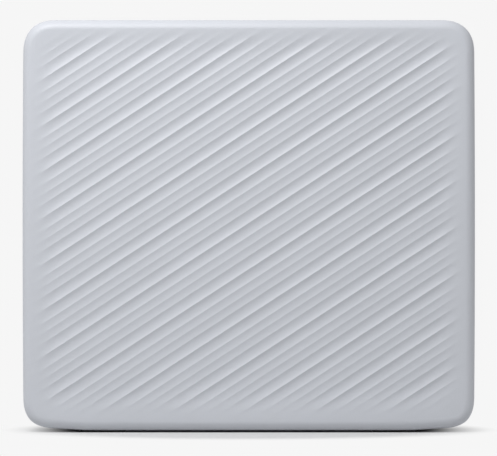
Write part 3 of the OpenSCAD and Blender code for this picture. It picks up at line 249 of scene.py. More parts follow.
def straight(a, b):
    """Points between two ends of a straight side."""
    count = 14
    return [tuple(p + (q - p) * k / count for p, q in zip(a, b)) for k in range(1, count)]

def rib_lines(low, high):
    """Offsets across the ribs: every crest and the facets between, closer near both ends."""
    lines = []
    first = math.floor((low - CREST_SHIFT) / PITCH) - 1
    last = math.ceil((high - CREST_SHIFT) / PITCH) + 1
    for n in range(first, last):
        at = n * PITCH + CREST_SHIFT
        for width in (WIDE, NARROW, NARROW, WIDE):
            lines += [at + width * k / STEPS for k in range(STEPS)]
            at += width
    near, few = 3 * MM, 12
    close = [near * (k / few) ** 2 + 0.004 * MM for k in range(few)]
    lines = [s for s in lines if low + near < s < high - near]
    return [low + c for c in close] + lines + [high - c for c in reversed(close)]

def along(length):
    """Places along one rib, from 0 to 1, closer where it fades in and out."""
    end = min(17 * MM / length, 0.5)
    near, far = 10, 6
    ends = [end * k / near for k in range(near)]
    middle = [end + (1 - 2 * end) * k / far for k in range(far)]
    return ends + middle + [1 - e for e in reversed(ends)]

def smooth(t):
    """0 up to 0, 1 from 1 on, and an even S between them."""
    t = min(max(t, 0.0), 1.0)
    return t * t * (3 - 2 * t)

def fade_at(x, z):
    """0 on the bare margin, 1 where the ribs have their full depth."""
    left, right = -HALF_W + FADE_LEFT, HALF_W - FADE_RIGHT
    foot, top = MID_Z - HALF_H + FADE_FOOT, MID_Z + HALF_H - FADE_TOP
    r = FADE_CORNER
    qx = abs(x - (left + right) / 2) - (right - left) / 2 + r
    qz = abs(z - (foot + top) / 2) - (top - foot) / 2 + r
    inside = r - math.hypot(max(qx, 0), max(qz, 0)) - min(max(qx, qz), 0)
    return smooth(inside / FADE_LENGTH)

def casing_skin():
    """Rows of the face along the ribs, each point ((x, z), offset across them), and where each row ends."""
    body_ring = outline()
    face_ring = outline(EDGE)
    sin_a, cos_a = math.sin(RIB_SLOPE), math.cos(RIB_SLOPE)
    across = [x * sin_a - (z - MID_Z) * cos_a for x, z, nx, nz in face_ring]
    rows = rib_lines(min(across), max(across))
    grid, edge = [], []
    for s in rows:
        hits = []
        for k in range(len(body_ring)):
            m = (k + 1) % len(body_ring)
            if (across[k] - s) * (across[m] - s) < 0:
                f = (s - across[k]) / (across[m] - across[k])
                face = [p + (q - p) * f for p, q in zip(face_ring[k], face_ring[m])]
                body = [p + (q - p) * f for p, q in zip(body_ring[k], body_ring[m])]
                hits.append((face[0] * cos_a + (face[1] - MID_Z) * sin_a, face, body))
        hits.sort(key=lambda h: h[0])
        (t0, f0, b0), (t1, f1, b1) = hits[0], hits[-1]
        row = []
        for u in along(t1 - t0):
            row.append(((f0[0] + (f1[0] - f0[0]) * u, f0[1] + (f1[1] - f0[1]) * u), s))
        grid.append(row)
        edge.append(((b0[0], b0[1], f0[2], f0[3]), (b1[0], b1[1], f1[2], f1[3])))
    return grid, edge

def shell_mesh(name):
    """A closed tray: the face, a rounded edge, the sides, a stepped parting edge and the inside."""
    grid, edge = casing_skin()
    verts, faces, across, fade = [], [], [], []
    def put(x, y, z, s=0.0, w=0.0):
        verts.append((x, y, z))
        across.append(s)
        fade.append(w)
        return len(verts) - 1
    outer = [[put(x, Y_FACE, z, s, fade_at(x, z)) for (x, z), s in row] for row in grid]
    inner = [[put(x, Y_BAY, z) for (x, z), s in row] for row in grid]
    n, m = len(grid), len(grid[0])
    def blend(i, j):
        u = j / (m - 1)
        a, b = edge[i]
        mixed = [p + (q - p) * u for p, q in zip(a, b)]
        size = math.hypot(mixed[2], mixed[3])
        return mixed[0], mixed[1], mixed[2] / size, mixed[3] / size
    loop = [(i, 0) for i in range(n)] + [(n - 1, j) for j in range(1, m)]
    loop += [(i, m - 1) for i in range(n - 2, -1, -1)] + [(0, j) for j in range(m - 2, 0, -1)]
    steps = 10
    section = []                # (distance in from the body's outline, y)
    for k in range(1, steps + 1):
        t = math.radians(90 * k / steps)
        section.append((EDGE * (1 - math.sin(t)), Y_FACE + EDGE * (1 - math.cos(t))))
    section += [(0, Y_SPLIT - 0.25 * MM), (0.2 * MM, Y_SPLIT), (WALL / 2, Y_SPLIT),
                (WALL / 2, Y_SPLIT - LIP), (WALL, Y_SPLIT - LIP)]
    small = EDGE - WALL
    for k in range(5):
        t = math.radians(90 * k / 4)
        section.append((WALL + small * (1 - math.cos(t)), Y_BAY + small * (1 - math.sin(t))))
    rings = [[outer[i][j] for i, j in loop]]
    for inset, y in section[:-1]:
        level = []
        for i, j in loop:
            x, z, nx, nz = blend(i, j)
            level.append(put(x - inset * nx, y, z - inset * nz))
        rings.append(level)
    rings.append([inner[i][j] for i, j in loop])
    for i in range(n - 1):
        for j in range(m - 1):
            faces.append((outer[i][j], outer[i][j + 1], outer[i + 1][j + 1], outer[i + 1][j]))
            faces.append((inner[i][j], inner[i + 1][j], inner[i + 1][j + 1], inner[i][j + 1]))
    for a, b in zip(rings, rings[1:]):
        for k in range(len(loop)):
            q = (k + 1) % len(loop)
            faces.append((a[k], a[q], b[q], b[k]))
    mesh = bpy.data.meshes.new(name)
    mesh.from_pydata(verts, [], faces)
    mesh.attributes.new("rib_across", "FLOAT", "POINT").data.foreach_set("value", across)
    mesh.attributes.new("rib_fade", "FLOAT", "POINT").data.foreach_set("value", fade)
    mesh.validate()
    bm = bmesh.new()
    bm.from_mesh(mesh)
    bmesh.ops.recalc_face_normals(bm, faces=bm.faces)
    bm.to_mesh(mesh)
    bm.free()
    return mesh

def new_tree(name, **inputs):
    """A Geometry Nodes tree that takes a mesh, these named inputs and a finish, and its input sockets."""
    tree = bpy.data.node_groups.new(name, "GeometryNodeTree")
    for label, kind in {"geometry": "Geometry", **inputs, "finish": "Material"}.items():
        tree.interface.new_socket(label.replace("_", " ").title(), in_out="INPUT",
                                  socket_type="NodeSocket" + kind)
    tree.interface.new_socket("Geometry", in_out="OUTPUT", socket_type="NodeSocketGeometry")
    return tree, tree.nodes.new("NodeGroupInput").outputs

def end_tree(tree, given, geometry, only=None):
    """Ends a tree: its instances become one mesh, which takes the finish, all over or only on some faces."""
    real = add(tree, "GeometryNodeRealizeInstances", {"Geometry": geometry})
    done = add(tree, "GeometryNodeSetMaterial",
               {"Geometry": real.outputs["Geometry"], "Material": given["Finish"]})
    if only:
        tree.links.new(only, done.inputs["Selection"])
    out = tree.nodes.new("NodeGroupOutput")
    tree.links.new(done.outputs["Geometry"], out.inputs["Geometry"])
    return tree

def rib_tree():
    """Geometry nodes that press the flutes into the face from two attributes."""
    tree, given = new_tree("rib_field", wide_flute="Float", narrow_flute="Float", wide_radius="Float",
                           narrow_radius="Float", crest_drop="Float", shift="Float")
    def calc(operation, *values):
        return add(tree, "ShaderNodeMath", dict(enumerate(values)), operation=operation).outputs[0]
    def stored(name):
        return add(tree, "GeometryNodeInputNamedAttribute", {"Name": name},
                   data_type="FLOAT").outputs["Attribute"]
    def choose(test, no, yes):
        return calc("ADD", calc("MULTIPLY", test, yes), calc("MULTIPLY", calc("SUBTRACT", 1.0, test), no))
    half = calc("ADD", given["Wide Flute"], given["Narrow Flute"])
    pitch = calc("MULTIPLY", half, 2.0)
    place = calc("FLOORED_MODULO", calc("SUBTRACT", stored("rib_across"), given["Shift"]), pitch)
    fold = calc("ABSOLUTE", calc("SUBTRACT", place, half))
    wide = calc("GREATER_THAN", fold, given["Narrow Flute"])
    width = choose(wide, given["Narrow Flute"], given["Wide Flute"])
    radius = choose(wide, given["Narrow Radius"], given["Wide Radius"])
    start = calc("MULTIPLY", wide, given["Narrow Flute"])
    from_mid = calc("SUBTRACT", calc("SUBTRACT", fold, start), calc("MULTIPLY", width, 0.5))
    square = calc("MULTIPLY", radius, radius)
    reach = calc("SQRT", calc("SUBTRACT", square, calc("MULTIPLY", from_mid, from_mid)))
    chord = calc("SQRT", calc("SUBTRACT", square, calc("POWER", calc("MULTIPLY", width, 0.5), 2.0)))
    rise = calc("DIVIDE", calc("SUBTRACT", fold, start), width)
    drop = calc("MULTIPLY", given["Crest Drop"], calc("SUBTRACT", 1.0, calc("MULTIPLY", rise, wide)))
    depth = calc("MULTIPLY", calc("ADD", drop, calc("SUBTRACT", reach, chord)), stored("rib_fade"))
    push = add(tree, "ShaderNodeCombineXYZ", {"Y": depth}).outputs[0]
    moved = add(tree, "GeometryNodeSetPosition", {"Geometry": given["Geometry"], "Offset": push})
    return end_tree(tree, given, moved.outputs["Geometry"])

def applied(obj):
    """Applies an object's modifiers and keeps the result as its plain mesh."""
    bpy.context.view_layer.update()
    done = bpy.data.meshes.new_from_object(obj.evaluated_get(bpy.context.evaluated_depsgraph_get()))
    obj.modifiers.clear()
    obj.data = done

def grown(obj, tree, **values):
    """Runs a node tree on an object, with each input set by its socket's identifier."""
    mod = obj.modifiers.new("grow", "NODES")
    mod.node_group = tree
    for item in tree.interface.items_tree:
        key = item.name.replace(" ", "_").lower()
        if item.in_out == "INPUT" and key in values:
            mod[item.identifier] = values[key]
    applied(obj)

def moulded(name, colour, roughness, grain=2200.0, depth=0.012, mottle=0.012, sheen=0.5):
    """Moulded plastic: a fine spark-eroded grain, faint flow marks and uneven gloss."""
    mat, tree = new_material(name)
    place = add(tree, "ShaderNodeTexCoord").outputs["Object"]
    fine = add(tree, "ShaderNodeTexNoise", {"Vector": place, "Scale": grain, "Detail": 4.0, "Roughness": 0.6})
    flow = add(tree, "ShaderNodeTexNoise", {"Vector": place, "Scale": 35.0, "Detail": 3.0, "Roughness": 0.5})
    tone = add(tree, "ShaderNodeMapRange", {"Value": flow.outputs["Fac"], "From Min": 0.3, "From Max": 0.7,
                                            "To Min": 1 - mottle, "To Max": 1 + mottle})
    speck = add(tree, "ShaderNodeMapRange", {"Value": fine.outputs["Fac"], "From Min": 0.3, "From Max": 0.7,
                                             "To Min": 0.985, "To Max": 1.015})
    both = add(tree, "ShaderNodeMath", {0: tone.outputs[0], 1: speck.outputs[0]}, operation="MULTIPLY")
    paint = add(tree, "ShaderNodeVectorMath", {0: colour, "Scale": both.outputs[0]}, operation="SCALE")
    gloss = add(tree, "ShaderNodeMapRange", {"Value": flow.outputs["Fac"], "From Min": 0.3, "From Max": 0.7,
                                             "To Min": roughness - 0.04, "To Max": roughness + 0.04})
    bump = add(tree, "ShaderNodeBump", {"Height": fine.outputs["Fac"], "Strength": 0.35,
                                        "Distance": depth * MM})
    skin = add(tree, "ShaderNodeBsdfPrincipled", {
        "Base Color": paint.outputs[0], "Roughness": gloss.outputs[0], "Specular IOR Level": sheen,
        "Normal": bump.outputs["Normal"]})
    add(tree, "ShaderNodeOutputMaterial", {"Surface": skin.outputs["BSDF"]})
    return mat

casing_plastic = moulded("pale_grey_plastic", CASING_GREY, 0.48)

front = bpy.data.objects.new("front_casing", shell_mesh("front_casing"))
bpy.context.collection.objects.link(front)
grown(front, rib_tree(), wide_flute=WIDE, narrow_flute=NARROW, wide_radius=WIDE_R, narrow_radius=NARROW_R,
      crest_drop=CREST_DROP, shift=CREST_SHIFT, finish=casing_plastic)

def ring(u, v, w, h, r=None, count=10):
    """A round (w = h = 2r) or rounded rectangle about (u, v), as points going round."""
    r = min(w, h) / 2 if r is None else r
    points = []
    for quarter, (su, sv) in enumerate([(1, 1), (-1, 1), (-1, -1), (1, -1)]):
        for k in range(count + 1):
            t = math.radians(90 * (quarter + k / count))
            points.append((u + su * (w / 2 - r) + r * math.cos(t), v + sv * (h / 2 - r) + r * math.sin(t)))
    return [p for k, p in enumerate(points) if math.dist(p, points[k - 1]) > 1e-7]

def stack(bm, axis, levels):
    """A closed body through rings at set places along an axis: levels are (place, ring)."""
    def at(place, u, v):
        return {"x": (place, u, v), "y": (u, place, v), "z": (u, v, place)}[axis]
    loops = [[bm.verts.new([c * MM for c in at(place, u, v)]) for u, v in points] for place, points in levels]
    faces = [bm.faces.new(loops[0]), bm.faces.new(loops[-1])]
    for a, b in zip(loops, loops[1:]):
        for k in range(len(a)):
            faces.append(bm.faces.new((a[k - 1], a[k], b[k], b[k - 1])))
    bmesh.ops.recalc_face_normals(bm, faces=faces)

def piece(name, bm, *materials):
    """Turns a bmesh into an object in the scene."""
    mesh = bpy.data.meshes.new(name)
    bm.to_mesh(mesh)
    bm.free()
    obj = bpy.data.objects.new(name, mesh)
    bpy.context.collection.objects.link(obj)
    for mat in materials:
        mesh.materials.append(mat)
    return obj

def cut_away(obj, bm):
    """Takes the bodies in bm away from a piece."""
    cutter = piece("cutter", bm)
    mod = obj.modifiers.new("cut", "BOOLEAN")
    mod.operation, mod.solver, mod.object, mod.use_self = "DIFFERENCE", "EXACT", cutter, True
    applied(obj)
    bpy.data.objects.remove(cutter)

def shaded(obj, degrees, even=True):
    """Smooth shading that stays crisp at edges sharper than this and keeps broad faces flat."""
    if "custom_normal" in obj.data.attributes:
        obj.data.attributes.remove(obj.data.attributes["custom_normal"])
    for face in obj.data.polygons:
        face.use_smooth = True
    obj.data.set_sharp_from_angle(angle=math.radians(degrees))
    if even:
        mod = obj.modifiers.new("even", "WEIGHTED_NORMAL")
        mod.keep_sharp, mod.weight = True, 50
        applied(obj)

def fitted(obj, body, slot, *nodes):
    """Sets a finished piece on its body, if it rides on one alone, in place of its CAD nodes."""
    if body:
        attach(obj, body)
    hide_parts(*nodes)
    return obj

# sizes and places given to ring, stack and post are in millimetres
BUTTON_Y, BUTTON_Z = -6.4, 46.0  # the power button, in the right side
RING_D = 13.24                  # bore for the light ring round it
PORT_Y = -7.15                  # charging socket, reset button and charge light, in the left side
SOCKET_Z, RESET_Z, LIGHT_Z = 22, 31, 38
FILM_X, EXIT_Y = -5.0, -2.4     # middle of the film's path, and of the slot where it comes out
FEET = [(x, y) for x in (-45, 45) for y in (-8.85, 9.4)]
holes = bmesh.new()
stack(holes, "x", [(67, ring(BUTTON_Y, BUTTON_Z, RING_D, RING_D)),
                   (69.25, ring(BUTTON_Y, BUTTON_Z, RING_D, RING_D)),
                   (69.9, ring(BUTTON_Y, BUTTON_Z, 14.5, 14.5))])
stack(holes, "x", [(-70.1, ring(PORT_Y, SOCKET_Z, 4.8, 10.0)), (-69.2, ring(PORT_Y, SOCKET_Z, 3.8, 9.0, 1.85)),
                   (-66.5, ring(PORT_Y, SOCKET_Z, 3.8, 9.0, 1.85))])
stack(holes, "x", [(-70.1, ring(PORT_Y, RESET_Z, 3.0, 3.0)), (-69.3, ring(PORT_Y, RESET_Z, 2.2, 2.2)),
                   (-66.5, ring(PORT_Y, RESET_Z, 2.2, 2.2))])
stack(holes, "x", [(-70, ring(PORT_Y, LIGHT_Z, 1.84, 1.84)), (-66.5, ring(PORT_Y, LIGHT_Z, 1.84, 1.84))])
stack(holes, "z", [(123, ring(FILM_X, EXIT_Y, 114.6, 7.0, 0.3, 3)),
                   (126.35, ring(FILM_X, EXIT_Y, 114.6, 7.0, 0.3, 3)),
                   (127, ring(FILM_X, EXIT_Y, 115.9, 8.3, 0.8, 3))])
for x, y in FEET[::2]:          # the pockets of the rear feet are in the rear casing
    stack(holes, "z", [(-1, ring(x, y, 14.2, 7.2, 2.1)), (1.1, ring(x, y, 14.2, 7.2, 2.1))])
cut_away(front, holes)

# screw posts and webs moulded on the inside, each post with its bore
CHASSIS_SCREWS = [(-56, 52.8), (36, 52.8), (46, 66), (-30, 100.075), (23.6, 100.075)]
BOARD_SCREWS = [(x, z) for x in (-62, 35.5) for z in (14.4, 46)]
LOWER_SCREWS_X, LOWER_SCREWS_Z = (-39, 39), 6.2
SIDE_SCREW = (60.5, 62.25)
POST_FOOT = -15.15              # half a millimetre into the face's wall
posts = bmesh.new()
def post(x, z, r, bore, y1, bore_y):
    """A post from the face's inside to y1 with its rim broken, bored down to bore_y."""
    def turn(radius):
        return ring(x, z, 2 * radius, 2 * radius, count=6)
    stack(posts, "y", [(POST_FOOT, turn(r)), (y1 - 0.3, turn(r)), (y1, turn(r - 0.3)), (y1, turn(bore)),
                       (bore_y, turn(bore))])
for x, z in CHASSIS_SCREWS:
    post(x, z, 2.2, 0.87, -6.42, -14.65)
for x, z in BOARD_SCREWS:
    post(x, z, 2.0, 0.72, -9.4, -14.65)
for x in LOWER_SCREWS_X:
    post(x, LOWER_SCREWS_Z, 2.0, 0.87, 9.85, 0)
    stack(posts, "y", [(POST_FOOT, ring(x, 3.65, 1.2, 3.1, 0.1, 2)), (1.6, ring(x, 3.65, 1.2, 3.1, 0.1, 2))])
post(*SIDE_SCREW, 2.4, 0.87, 2, -8)
posts.from_mesh(front.data)
posts.to_mesh(front.data)
posts.free()
shaded(front, 11.5, even=False)
fitted(front, "casing", "casing", "front_shell")


# ----------------------------------------------------------- rear casing
# The back half of the casing, of the same grey ABS: a frame round the film
# door with a tongue that slips into the front half, held by five screws.
CAD_CORNER = 9.0 * MM           # the plain round that the solids have there
SKIN, SKIN_EASE = 2.2 * MM, 1.2 * MM  # depth that follows the bowed outline, and over which that dies out
LEVEL_AT, LEVEL_OVER = 14 * MM, 8 * MM  # where the bottom edge is level again, short of the door

def merged(node):
    """A copy of a CAD node's mesh whose faces share their corners."""
    bm = bmesh.new()
    bm.from_mesh(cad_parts[node].data)
    bmesh.ops.remove_doubles(bm, verts=bm.verts, dist=1e-6)
    return bm

def flattened(bm):
    """Joins the triangles of each flat face, so that long thin ones leave no creases when edges are rounded."""
    level = [edge for edge in bm.edges if edge.calc_face_angle(math.pi) < 1e-3]
    bmesh.ops.beautify_fill(bm, faces=bm.faces[:], edges=level, method="ANGLE")
    bmesh.ops.dissolve_limit(bm, angle_limit=math.radians(0.05), verts=bm.verts[:], edges=bm.edges[:])

def softened(name, bm, width, finish):
    """A piece whose sharp edges are rounded by this many millimetres, without growing."""
    flattened(bm)
    obj = piece(name, bm, finish)
    mod = obj.modifiers.new("round", "BEVEL")
    mod.width, mod.segments, mod.limit_method = width * MM, 2, "ANGLE"
    mod.angle_limit, mod.use_clamp_overlap = math.radians(35), False
    applied(obj)
    shaded(obj, 20)
    return obj

def squared(x, y, z):
    """Moves a point of the plain rounded outline to the squarer, bowed outline of the skin."""
    px, pz = abs(x), abs(z - MID_Z)
    sx, sz = math.copysign(1, x), math.copysign(1, z - MID_Z)
    cx, cz = HALF_W - CAD_CORNER, HALF_H - CAD_CORNER
    if px > cx and pz > cz:
        turn = math.atan2(pz - cz, px - cx)
        depth = CAD_CORNER - math.hypot(px - cx, pz - cz)
        c, s, n = math.cos(turn), math.sin(turn), CORNER_POWER
        size = (c ** (n / (n - 1)) + s ** (n / (n - 1))) ** (1 / n)
        nx = HALF_W - CORNER + CORNER * c ** (1 / (n - 1)) / size - depth * c
        nz = HALF_H - CORNER + CORNER * s ** (1 / (n - 1)) / size - depth * s
    else:
        nx, nz, depth = px, pz, min(HALF_W - px, HALF_H - pz)
    nx *= 1 - SIDE_BOW / HALF_W * (nz / HALF_H) ** 2
    share = 1 - smooth((depth - SKIN) / SKIN_EASE)
    rise = foot_rise(nx, sz * nz) * share * smooth((LEVEL_AT - y) / LEVEL_OVER)
    return sx * (px + (nx - px) * share), sz * (pz + (nz - pz) * share) + rise + MID_Z

# level cuts give the long sides points that can bow
bm = merged("rear_shell")
for k in range(-5, 6):
    bmesh.ops.bisect_plane(bm, geom=bm.verts[:] + bm.edges[:] + bm.faces[:], dist=1e-7,
                           plane_co=(0, 0, MID_Z + k * 9.4 * MM), plane_no=(0, 0, 1))
for vert in bm.verts:
    vert.co.x, vert.co.z = squared(*vert.co)
rear = softened("rear_casing", bm, 0.15, casing_plastic)
fitted(rear, "casing", "casing", "rear_shell")


# ----------------------------------------------------------- rubber feet
# Four oblong feet of dark soft rubber, pressed into pockets in the bottom
# edge of the casing, each with a rounded rim round a shallow hollow.
foot_rubber = moulded("foot_rubber", (0.022, 0.022, 0.024), 0.72, grain=900.0, depth=0.05, mottle=0.08,
                      sheen=0.35)
bm = bmesh.new()
for x, y in FEET:
    stack(bm, "z", [(1.08, ring(x, y, 14, 7, 2)), (0.3, ring(x, y, 14, 7, 2)),
                    (0.09, ring(x, y, 13.8, 6.8, 1.9)), (0.0, ring(x, y, 13.4, 6.4, 1.7)),
                    (0.0, ring(x, y, 12.4, 5.4, 1.2)), (0.15, ring(x, y, 12.1, 5.1, 1.05))])
feet = piece("rubber_feet", bm, foot_rubber)
shaded(feet, 35)
fitted(feet, "casing", "rubber", "rubber_feet")


# ------------------------------------------------------------ film exit
# The dark slot in the roof: a black ABS funnel pressed into the casing, with
# soft rims, and the thin hinged flap in its mouth that keeps light and dust out.
black_plastic = moulded("black_plastic", (0.020, 0.020, 0.022), 0.50, grain=1500.0, depth=0.02, mottle=0.10,
                        sheen=0.45)

def moulding(node, body, slot, finish, width):
    """A CAD node in its own shape, its edges rounded by this many millimetres, fitted in its place."""
    fitted(softened(node + "_piece", merged(node), width, finish), body, slot, node)

moulding("exit_bezel", "casing", "black_plastic", black_plastic, 0.2)
moulding("exit_flap", "exit_flap", "black_plastic", black_plastic, 0.1)


# -------------------------------------------------------------- screws
# Small thread-forming screws of blackened and of zinc-plated steel: a pan head
# with a cross recess, and a rolled thread that runs out at the tip.
def metal(name, colour, roughness, scale, grain=(1.0, 1.0, 1.0), depth=0.0015, stain=0.05):
    """Bare or plated metal: drawn lines along one axis, faint stains and uneven gloss."""
    mat, tree = new_material(name)
    place = add(tree, "ShaderNodeTexCoord").outputs["Object"]
    drawn = add(tree, "ShaderNodeVectorMath", {0: place, 1: grain}, operation="MULTIPLY")
    lines = add(tree, "ShaderNodeTexNoise", {"Vector": drawn.outputs[0], "Scale": scale, "Detail": 5.0,
                                             "Roughness": 0.65})
    cloud = add(tree, "ShaderNodeTexNoise", {"Vector": place, "Scale": 90.0, "Detail": 3.0})
    tone = add(tree, "ShaderNodeMapRange", {"Value": cloud.outputs["Fac"], "From Min": 0.3, "From Max": 0.7,
                                            "To Min": 1 - stain, "To Max": 1 + stain})
    streak = add(tree, "ShaderNodeMapRange", {"Value": lines.outputs["Fac"], "From Min": 0.3, "From Max": 0.7,
                                              "To Min": 1 - stain / 2, "To Max": 1 + stain / 2})
    both = add(tree, "ShaderNodeMath", {0: tone.outputs[0], 1: streak.outputs[0]}, operation="MULTIPLY")
    paint = add(tree, "ShaderNodeVectorMath", {0: colour, "Scale": both.outputs[0]}, operation="SCALE")
    gloss = add(tree, "ShaderNodeMapRange", {"Value": lines.outputs["Fac"], "From Min": 0.3, "From Max": 0.7,
                                             "To Min": roughness - 0.05, "To Max": roughness + 0.05})
    bump = add(tree, "ShaderNodeBump", {"Height": lines.outputs["Fac"], "Strength": 0.3,
                                        "Distance": depth * MM})
    skin = add(tree, "ShaderNodeBsdfPrincipled", {"Base Color": paint.outputs[0], "Metallic": 1.0,
                                                  "Roughness": gloss.outputs[0],
                                                  "Normal": bump.outputs["Normal"]})
    add(tree, "ShaderNodeOutputMaterial", {"Surface": skin.outputs["BSDF"]})
    return mat

black_steel = metal("blackened_steel", (0.10, 0.10, 0.105), 0.38, scale=1500.0)
zinc_steel = metal("zinc_plated_steel", (0.62, 0.63, 0.66), 0.30, scale=1500.0)

def screw_body(r, length, head_r, head_h, lead):
    """One screw that points down from z = 0, in millimetres: domed head, recess and thread."""
    bm = bmesh.new()
    around, rings = 16, []
    count = max(int(length / lead * 6), 12)
    core = 0.80 * r
    for k in range(count + 1):
        z = -length * (1 - k / count)
        ease = min(1.0, (z + length) / (1.2 * lead)) * min(1.0, -z / (0.6 * lead))
        loop = []
        for i in range(around):
            wave = abs(((z / lead - i / around) % 1.0) - 0.5) * 2
            tip = 0.55 + 0.45 * min(1.0, (z + length) / (1.5 * lead))
            radius = core * tip + (r - core) * ease * max(0.0, 1 - wave * 1.7)
            t = 2 * math.pi * i / around
            loop.append(bm.verts.new((radius * math.cos(t), radius * math.sin(t), z)))
        rings.append(loop)
    for radius, z in ((0.94 * head_r, 0.0), (head_r, 0.10 * head_h), (head_r, 0.45 * head_h),
                      (0.95 * head_r, 0.70 * head_h), (0.82 * head_r, 0.90 * head_h),
                      (0.62 * head_r, 0.98 * head_h), (0.40 * head_r, head_h)):
        rings.append([bm.verts.new((radius * math.cos(2 * math.pi * i / around),
                                    radius * math.sin(2 * math.pi * i / around), z)) for i in range(around)])
    for a, b in zip(rings, rings[1:]):
        for i in range(around):
            bm.faces.new((a[i - 1], a[i], b[i], b[i - 1]))
    bm.faces.new(rings[0])
    bm.faces.new(rings[-1])
    bmesh.ops.recalc_face_normals(bm, faces=bm.faces)
    bm.transform(Matrix.Scale(MM, 4))
    body = piece("screw", bm)
    recess = bmesh.new()
    a, w, top = 0.55 * head_r, 0.13 * head_r, 1.2 * head_h
    b, v, base = 0.22 * head_r, 0.6 * w, head_h - 0.62 * head_h
    wedge = [(-a, -w, top), (a, -w, top), (a, w, top), (-a, w, top), (-b, -v, base), (b, -v, base),
             (b, v, base), (-b, v, base)]
    for turn in (0, 90):
        corners = [recess.verts.new(Matrix.Rotation(math.radians(turn), 3, "Z") @ Vector(p)) for p in wedge]
        for f in ((3, 2, 1, 0), (4, 5, 6, 7), (0, 1, 5, 4), (1, 2, 6, 5), (2, 3, 7, 6), (3, 0, 4, 7)):
            recess.faces.new([corners[i] for i in f])
    bmesh.ops.recalc_face_normals(recess, faces=recess.faces)
    recess.transform(Matrix.Scale(MM, 4))
    cut_away(body, recess)
    shaded(body, 32)
    return body

def placing_tree():
    """Geometry nodes that set a copy of one part on every given point, turned by the point's attribute."""
    tree, given = new_tree("set_out", part="Object")
    part = add(tree, "GeometryNodeObjectInfo", {"Object": given["Part"]})
    turn = add(tree, "GeometryNodeInputNamedAttribute", {"Name": "turn"}, data_type="FLOAT_VECTOR")
    spots = add(tree, "GeometryNodeMeshToPoints", {"Mesh": given["Geometry"]})
    copies = add(tree, "GeometryNodeInstanceOnPoints",
                 {"Points": spots.outputs["Points"], "Instance": part.outputs["Geometry"],
                  "Rotation": turn.outputs["Attribute"]})
    return end_tree(tree, given, copies.outputs["Instances"])

set_out = placing_tree()
POINTS_TO = {"front": (-90, 0, 0), "back": (90, 0, 0), "left": (0, 90, 0), "right": (0, -90, 0),
             "down": (0, 0, 0)}
TURN_EACH = 37.0                # degrees that each copy is turned further than the one before

def placed(name, part, finish, spots):
    """One piece made of copies of a part; a spot is (x, y, z, the way its lower end points)."""
    spread = bpy.data.meshes.new(name)
    spread.from_pydata([[c * MM for c in spot[:3]] for spot in spots], [], [])
    turns = spread.attributes.new("turn", "FLOAT_VECTOR", "POINT")
    for k, spot in enumerate(spots):
        away = Matrix.Rotation(math.radians(TURN_EACH * k), 3, "Z")
        aim = Vector([math.radians(a) for a in POINTS_TO[spot[3]]])
        turned = Matrix.Rotation(aim.x, 3, "X") @ Matrix.Rotation(aim.y, 3, "Y") @ away
        turns.data[k].vector = turned.to_euler()
    obj = bpy.data.objects.new(name, spread)
    bpy.context.collection.objects.link(obj)
    grown(obj, set_out, part=part, finish=finish)
    return obj

def screws(name, body, slot, finish, kinds):
    """Screws of one node: each kind is a size and its places. The loose parts are then dropped."""
    made = []
    for k, (size, spots) in enumerate(kinds):
        part = screw_body(*size)
        made.append(placed(name if k == 0 else f"{name}_{k}", part, finish, spots))
        bpy.data.objects.remove(part)
    whole = bmesh.new()
    for obj in made:
        whole.from_mesh(obj.data)
        bpy.data.objects.remove(obj)
    obj = piece(name, whole, finish)
    shaded(obj, 32)
    fitted(obj, body, slot, name)

ROLLER_Z = 115.0                # both rollers' axes, and the line of the screws beside them
screws("casing_screws", "casing", "screw_steel", black_steel, [
    ((0.85, 8, 1.5, 1, 0.7), [(x, 11.17, LOWER_SCREWS_Z, "front") for x in LOWER_SCREWS_X]
     + [(SIDE_SCREW[0], 8.02, SIDE_SCREW[1], "front")]),
    ((0.85, 4.2, 1.5, 1, 0.7), [(FILM_X - 36, 13.37, ROLLER_Z - 1.6, "front"),
                                (FILM_X + 36, 13.37, ROLLER_Z - 1.6, "front")])])


# ------------------------------------------------------------- film door
# The back of the printer: one flat grey ABS moulding that swings down on two
# steel pins; its edge is softly rounded and its barrels interlock with ears.
moulding("film_door", "film_door", "casing", casing_plastic, 0.2)

# The hinge pins are ground steel rod with chamfered ends.
ground_steel = metal("ground_steel", (0.58, 0.58, 0.60), 0.24, grain=(1.0, 0.15, 0.15), scale=2200.0)
bm = bmesh.new()
for a in (43.5, -60.3):
    stack(bm, "x", [(a, ring(14.6, 6.2, 1.0, 1.0)), (a + 0.25, ring(14.6, 6.2, 1.5, 1.5)),
                    (a + 16.55, ring(14.6, 6.2, 1.5, 1.5)), (a + 16.8, ring(14.6, 6.2, 1.0, 1.0))])
pins = piece("hinge_pins", bm, ground_steel)
shaded(pins, 35)
fitted(pins, "casing", "steel", "hinge_pins")


# ------------------------------------------------------------ door liner
# A black ABS plate screwed inside the door. Fine moulded ribs break up stray
# light, and two bowed leaves of spring steel press the film pack forward.
RIB_STEP = 2.4                  # spacing of the light-trap ribs
liner = softened("door_liner_piece", merged("door_liner"), 0.12, black_plastic)

def rib_row_tree():
    """Geometry nodes that repeat a rib, or a few in line, in rows a step apart."""
    tree, given = new_tree("light_trap", rows="Int", step="Vector")
    line = add(tree, "GeometryNodeMeshLine", {"Count": given["Rows"], "Offset": given["Step"]}, mode="OFFSET")
    spots = add(tree, "GeometryNodeMeshToPoints", {"Mesh": line.outputs["Mesh"]})
    copies = add(tree, "GeometryNodeInstanceOnPoints",
                 {"Points": spots.outputs["Points"], "Instance": given["Geometry"]})
    return end_tree(tree, given, copies.outputs["Instances"])

rib_rows = rib_row_tree()

